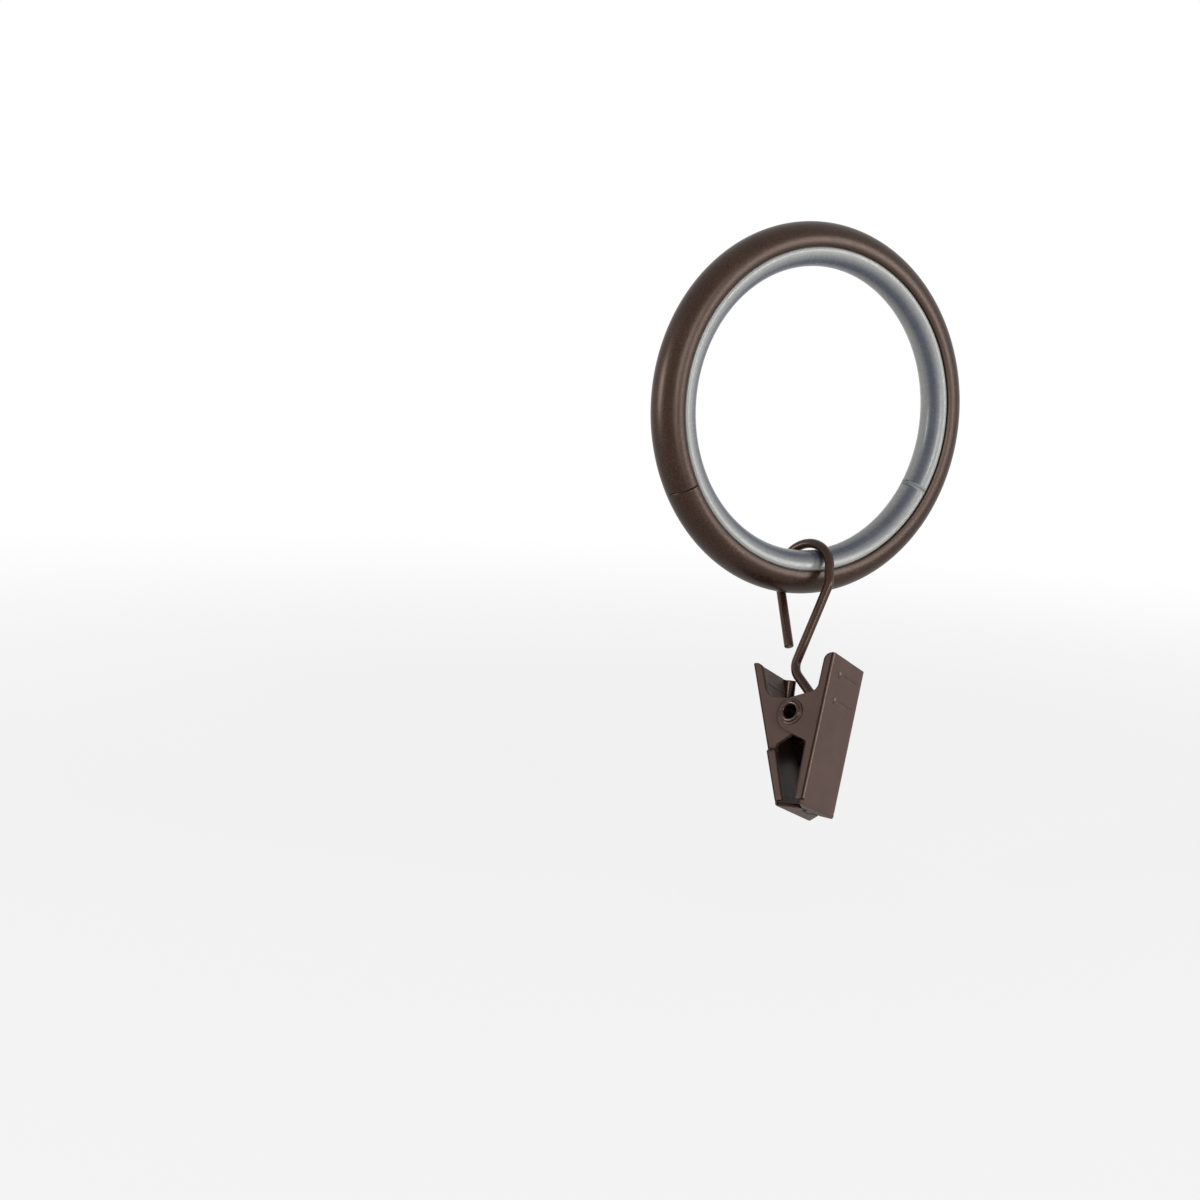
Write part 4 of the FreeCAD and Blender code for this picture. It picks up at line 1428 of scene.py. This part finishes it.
    def build(self, frame: tuple[Array, Array]) -> bpy.types.Object:
        """The outside in the clip's place, given the sheet's thickness and eased edges.

        Args:
            frame: rotation and origin of the clip.

        Returns:
            The new piece.
        """
        sheet = self.build_surface()
        if not self.nested:
            sheet = sheet.mirrored(1)
        piece = make_piece(self.name, sheet.placed(*frame), closed=False, mark=CLIP_COAT.painted_light)
        wall = piece.modifiers.new("sheet", "SOLIDIFY")
        wall.thickness = self.sheet * MM
        wall.offset = -1.0
        wall.use_even_offset = True
        wall.material_offset_rim = 1
        ease_edges = piece.modifiers.new("eased_edges", "BEVEL")
        ease_edges.width = self.ease_width * MM
        ease_edges.segments = self.ease_steps
        ease_edges.limit_method = "ANGLE"
        ease_edges.angle_limit = np.radians(self.ease_from)
        return piece

    def dress(self, piece: bpy.types.Object) -> None:
        """Give the jaw its lacquer, its cut edges and its place among the bodies."""
        finishes = [CLIP_COAT.build(), CUT_EDGE.build()]
        dress_piece(piece, finishes, self.body, self.node)


@dataclass
class Rivet:
    """Tubular rivet through the ears, with a rolled rim at each end."""

    half_width: float = 4.95
    bore: float = 0.925
    barrel: float = 1.25
    rim: float = 1.75
    rim_height: float = 0.4
    seat_gap: float = 0.01
    collar: float = 0.16
    edge_part: float = 0.14
    bead_middle: float = 0.68
    bore_end: float = 0.6
    foot_chamfer: float = 0.02
    rim_points: int = 49
    around: int = 128

    def build(self, frame: tuple[Array, Array]) -> bpy.types.Object:
        """Outline of the wall turned about the pin.

        Each end is a flat collar with a rounded edge, a quarter circle, and inside it a
        raised bead, half an ellipse from the collar's groove to the bore.

        Args:
            frame: rotation and origin of the clip.

        Returns:
            The new piece.
        """
        seat = self.half_width + self.seat_gap
        way = np.linspace(0.0, 1.0, self.rim_points)
        edge = np.clip(1.0 - way / self.edge_part, 0.0, 1.0)
        bead = np.clip(1.0 - ((way - self.bead_middle) / (1.0 - self.bead_middle)) ** 2, 0.0, 1.0)
        rise = self.collar * np.sqrt(1.0 - edge ** 2)
        rise = rise + (self.rim_height - self.collar) * np.sqrt(bead)
        curl = np.stack([seat + rise, self.rim + (self.bore - self.rim) * way], axis=-1)
        inner = np.array([[seat - self.bore_end, self.bore], [0.0, self.bore]])
        foot = self.foot_chamfer
        outer = np.array([[0.0, self.barrel], [seat - foot, self.barrel],
                          [seat, self.barrel + foot]])
        half = np.concatenate([outer, curl, inner])
        mirror = half[::-1] * np.array([-1.0, 1.0])
        outline = np.concatenate([half, mirror[1:-1]])
        spin = np.linspace(0.0, 2 * np.pi, self.around, endpoint=False)[:, None]
        grid = np.stack([np.broadcast_to(outline[:, 0], (self.around, len(outline))),
                         outline[:, 1] * np.cos(spin), outline[:, 1] * np.sin(spin)], axis=-1)
        sheet = sheet_of(grid, round_rows=True, round_columns=True)
        return make_piece("pivot_rivet_rolled", sheet.placed(*frame))

    def dress(self, piece: bpy.types.Object) -> None:
        """Give the rivet its coat and its place among the moving bodies."""
        dress_piece(piece, [RIVET_COAT.build()], Body.INNER, "pivot_rivet")


@dataclass
class TorsionSpring:
    """Coil on the rivet whose two legs push the handles apart."""

    wire: float = 0.6
    coil: float = 1.62
    length: float = 5.6
    whole_turns: float = 6.0
    lean: float = 30.0
    leg: float = 6.4
    end_round: float = 0.06
    carried: int = 4
    sides: int = 16
    coil_points: int = 220
    leg_points: int = 9

    def routes(self) -> tuple[Array, Array]:
        """Centre lines of the coil with its near leg, and of the far leg.

        The coil is a helix along the pin, and each leg runs straight on from it. The last few
        points of the helix go with the far leg, which moves with the outer jaw.

        Returns:
            Points of the two lines.
        """
        turns = self.whole_turns + 0.5 - self.lean / 180.0
        share = np.linspace(0.0, 1.0, self.coil_points)
        angle = -np.radians(self.lean + 360.0 * turns * share)
        coil = np.stack([(share - 0.5) * self.length, self.coil * np.cos(angle),
                         self.coil * np.sin(angle)], axis=-1)
        start = unit(coil[0] - coil[1]) * self.leg
        stop = unit(coil[-1] - coil[-2]) * self.leg
        near_leg = line_points(coil[0] + start, coil[0], self.leg_points)[:-1]
        far_leg = line_points(coil[-1], coil[-1] + stop, self.leg_points)[1:]
        wound = np.concatenate([near_leg, coil[:1 - self.carried]])
        return wound, np.concatenate([coil[-self.carried:], far_leg])

    def build(self, frame: tuple[Array, Array]) -> list[bpy.types.Object]:
        """The wire's circle carried along both centre lines.

        Args:
            frame: rotation and origin of the clip.

        Returns:
            The coil with its near leg, and the far leg.
        """
        pin = np.array([1.0, 0.0, 0.0])
        names = ("torsion_spring_wound", "torsion_spring_far_leg")
        wires = [carried_circle(route, self.wire / 2, self.sides, pin, self.end_round)
                 for route in self.routes()]
        return [make_piece(name, wire.placed(*frame)) for name, wire in zip(names, wires)]

    def dress(self, wound: bpy.types.Object, far_leg: bpy.types.Object) -> None:
        """Give the spring its steel, and each of its two parts its body.

        Args:
            wound: the coil with its near leg.
            far_leg: the other leg.
        """
        steel = [SPRING_STEEL.build()]
        dress_piece(wound, steel, Body.INNER, "torsion_spring")
        dress_piece(far_leg, steel, Body.OUTER)


@dataclass
class SprungClip:
    """Two sprung jaws on a hollow rivet."""

    hang: Hang
    outer: Jaw = field(default_factory=lambda: Jaw(
        "outer_jaw_pressed", "outer_jaw", Body.OUTER, nested=False))
    inner: Jaw = field(default_factory=lambda: Jaw(
        "inner_jaw_pressed", "inner_jaw", Body.INNER, nested=True, ear_sweep=2.1))
    rivet: Rivet = field(default_factory=Rivet)
    spring: TorsionSpring = field(default_factory=TorsionSpring)

    def build(self) -> list[bpy.types.Object]:
        """Every piece of the clip, dressed.

        Returns:
            The new pieces.
        """
        frame = self.hang.clip_frame()
        outer, inner = self.outer.build(frame), self.inner.build(frame)
        rivet, spring = self.rivet.build(frame), self.spring.build(frame)
        self.outer.dress(outer)
        self.inner.dress(inner)
        self.rivet.dress(rivet)
        self.spring.dress(*spring)
        return [outer, inner, rivet, *spring]


@dataclass
class Lamp:
    """Soft rectangular lamp that faces a point."""

    name: str
    place: Point
    width: float
    height: float
    power: float

    def build(self, target: Array) -> None:
        """Add the lamp, turned so that it faces the target.

        Args:
            target: point that it faces, in metres.
        """
        light = bpy.data.lights.new(self.name, "AREA")
        light.shape = "RECTANGLE"
        light.size, light.size_y = self.width, self.height
        light.energy = self.power
        stand(self.name, light, self.place, unit(np.array(self.place) - target), (0.0, 0.0, 1.0))


@dataclass
class Studio:
    """Pale floor, white surround, soft lamps and the camera."""

    camera_place: Point = (-0.1266, -0.1749, 0.0039)
    camera_back: Point = (-0.583, -0.808, 0.088)
    camera_up: Point = (0.0, 0.108, 0.994)
    lens: float = 47.2
    sensor: float = 36.0
    shift: tuple[float, float] = (-0.171, -0.067)
    view_range: tuple[float, float] = (0.005, 10.0)
    floor_height: float = -0.065
    floor_reach: float = 1.5
    floor_grey: float = 0.85
    floor_roughness: float = 0.9
    clear_from: float = 0.10
    clear_to: float = 0.45
    near_share: float = 0.78
    soft_light: float = 0.3
    target: Point = (0.0, 0.0, -0.012)
    lamps: tuple[Lamp, ...] = (
        Lamp("left_softbox", (-0.67, 0.06, 0.07), 0.16, 0.27, 2.6),
        Lamp("front_softbox", (0.02, -0.69, 0.08), 0.14, 0.28, 2.0),
        Lamp("right_softbox", (0.42, -0.55, 0.08), 0.18, 0.28, 2.2),
    )

    def build_camera(self) -> None:
        """Camera at the photograph's viewing angle."""
        data = bpy.data.cameras.new("camera")
        data.lens, data.sensor_width = self.lens, self.sensor
        data.shift_x, data.shift_y = self.shift
        data.clip_start, data.clip_end = self.view_range
        back = unit(np.array(self.camera_back))
        bpy.context.scene.camera = stand("camera", data, self.camera_place, back, self.camera_up)

    def build_floor(self) -> None:
        """Square pale floor below the clip."""
        reach = self.floor_reach / MM
        spots = np.linspace(-reach, reach, 3)
        x, y = np.meshgrid(spots, spots, indexing="ij")
        grid = np.stack([x, y, np.full_like(x, self.floor_height / MM)], axis=-1)
        floor = make_piece("floor", sheet_of(grid), closed=False)
        floor.data.materials.append(self.floor_material())

    @staticmethod
    def background_rays(tree: bpy.types.NodeTree) -> bpy.types.Node:
        """Node whose value is 1 for the rays that show a background, 0 for those that light.

        Args:
            tree: node tree of the floor's material or of the world.

        Returns:
            Node with the larger of the camera, gloss and transmission rays' values.
        """
        path = tree.nodes.new("ShaderNodeLightPath")
        either, any_of = (tree.nodes.new("ShaderNodeMath") for _ in range(2))
        either.operation = any_of.operation = "MAXIMUM"
        tree.links.new(path.outputs["Is Camera Ray"], either.inputs[0])
        tree.links.new(path.outputs["Is Glossy Ray"], either.inputs[1])
        tree.links.new(either.outputs[0], any_of.inputs[0])
        tree.links.new(path.outputs["Is Transmission Ray"], any_of.inputs[1])
        return any_of

    def floor_material(self) -> bpy.types.Material:
        """White floor: it takes shadows, and clears to the surround's white further out.

        Returns:
            The new material.
        """
        nodes = Nodes("pale_floor")
        nodes.fix(Base_Color=(self.floor_grey,) * 3, Roughness=self.floor_roughness,
                  Specular_IOR_Level=0.0)
        glow = nodes.add("ShaderNodeEmission")
        away = nodes.add("ShaderNodeVectorMath", operation="LENGTH")
        nodes.join(nodes.place, "Object", away, 0)
        clear = nodes.spread(away, "Value", self.clear_from, self.clear_to, self.near_share, 1.0)
        clear.interpolation_type = "SMOOTHSTEP"
        share = nodes.add("ShaderNodeMath", operation="MULTIPLY")
        nodes.join(self.background_rays(nodes.tree), 0, share, 0)
        nodes.join(clear, "Result", share, 1)
        blend = nodes.add("ShaderNodeMixShader")
        nodes.join(share, 0, blend, 0)
        nodes.join(nodes.shader, "BSDF", blend, 1)
        nodes.join(glow, "Emission", blend, 2)
        nodes.join(blend, "Shader", nodes.output, "Surface")
        return nodes.material

    def build_world(self) -> None:
        """White surround for what the camera, gloss and glass see, softer for light."""
        world = bpy.data.worlds.new("surround")
        world.use_nodes = True
        bpy.context.scene.world = world
        tree = world.node_tree
        tree.nodes.clear()
        output = tree.nodes.new("ShaderNodeOutputWorld")
        soft, white = (tree.nodes.new("ShaderNodeBackground") for _ in range(2))
        soft.inputs["Color"].default_value = white.inputs["Color"].default_value = (1.0,) * 4
        soft.inputs["Strength"].default_value = self.soft_light
        blend = tree.nodes.new("ShaderNodeMixShader")
        tree.links.new(self.background_rays(tree).outputs[0], blend.inputs[0])
        tree.links.new(soft.outputs[0], blend.inputs[1])
        tree.links.new(white.outputs[0], blend.inputs[2])
        tree.links.new(blend.outputs[0], output.inputs["Surface"])

    def build(self) -> None:
        """Camera, lamps, floor and surround."""
        self.build_camera()
        for lamp in self.lamps:
            lamp.build(np.array(self.target))
        self.build_floor()
        self.build_world()
        bpy.context.scene.view_settings.view_transform = "Standard"


def main() -> None:
    """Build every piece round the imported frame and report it."""
    logging.basicConfig(level=logging.INFO, format="%(message)s")
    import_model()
    hang = Hang()
    pieces = []
    for maker in (RolledRing(), DomedLiner(), WireHook(hang)):
        piece = maker.build()
        maker.dress(piece)
        pieces.append(piece)
    pieces += SprungClip(hang).build()
    for piece in pieces:
        LOG.info("%s: %d faces", piece.name, len(piece.data.polygons))
    Studio().build()


if __name__ == "__main__":
    main()
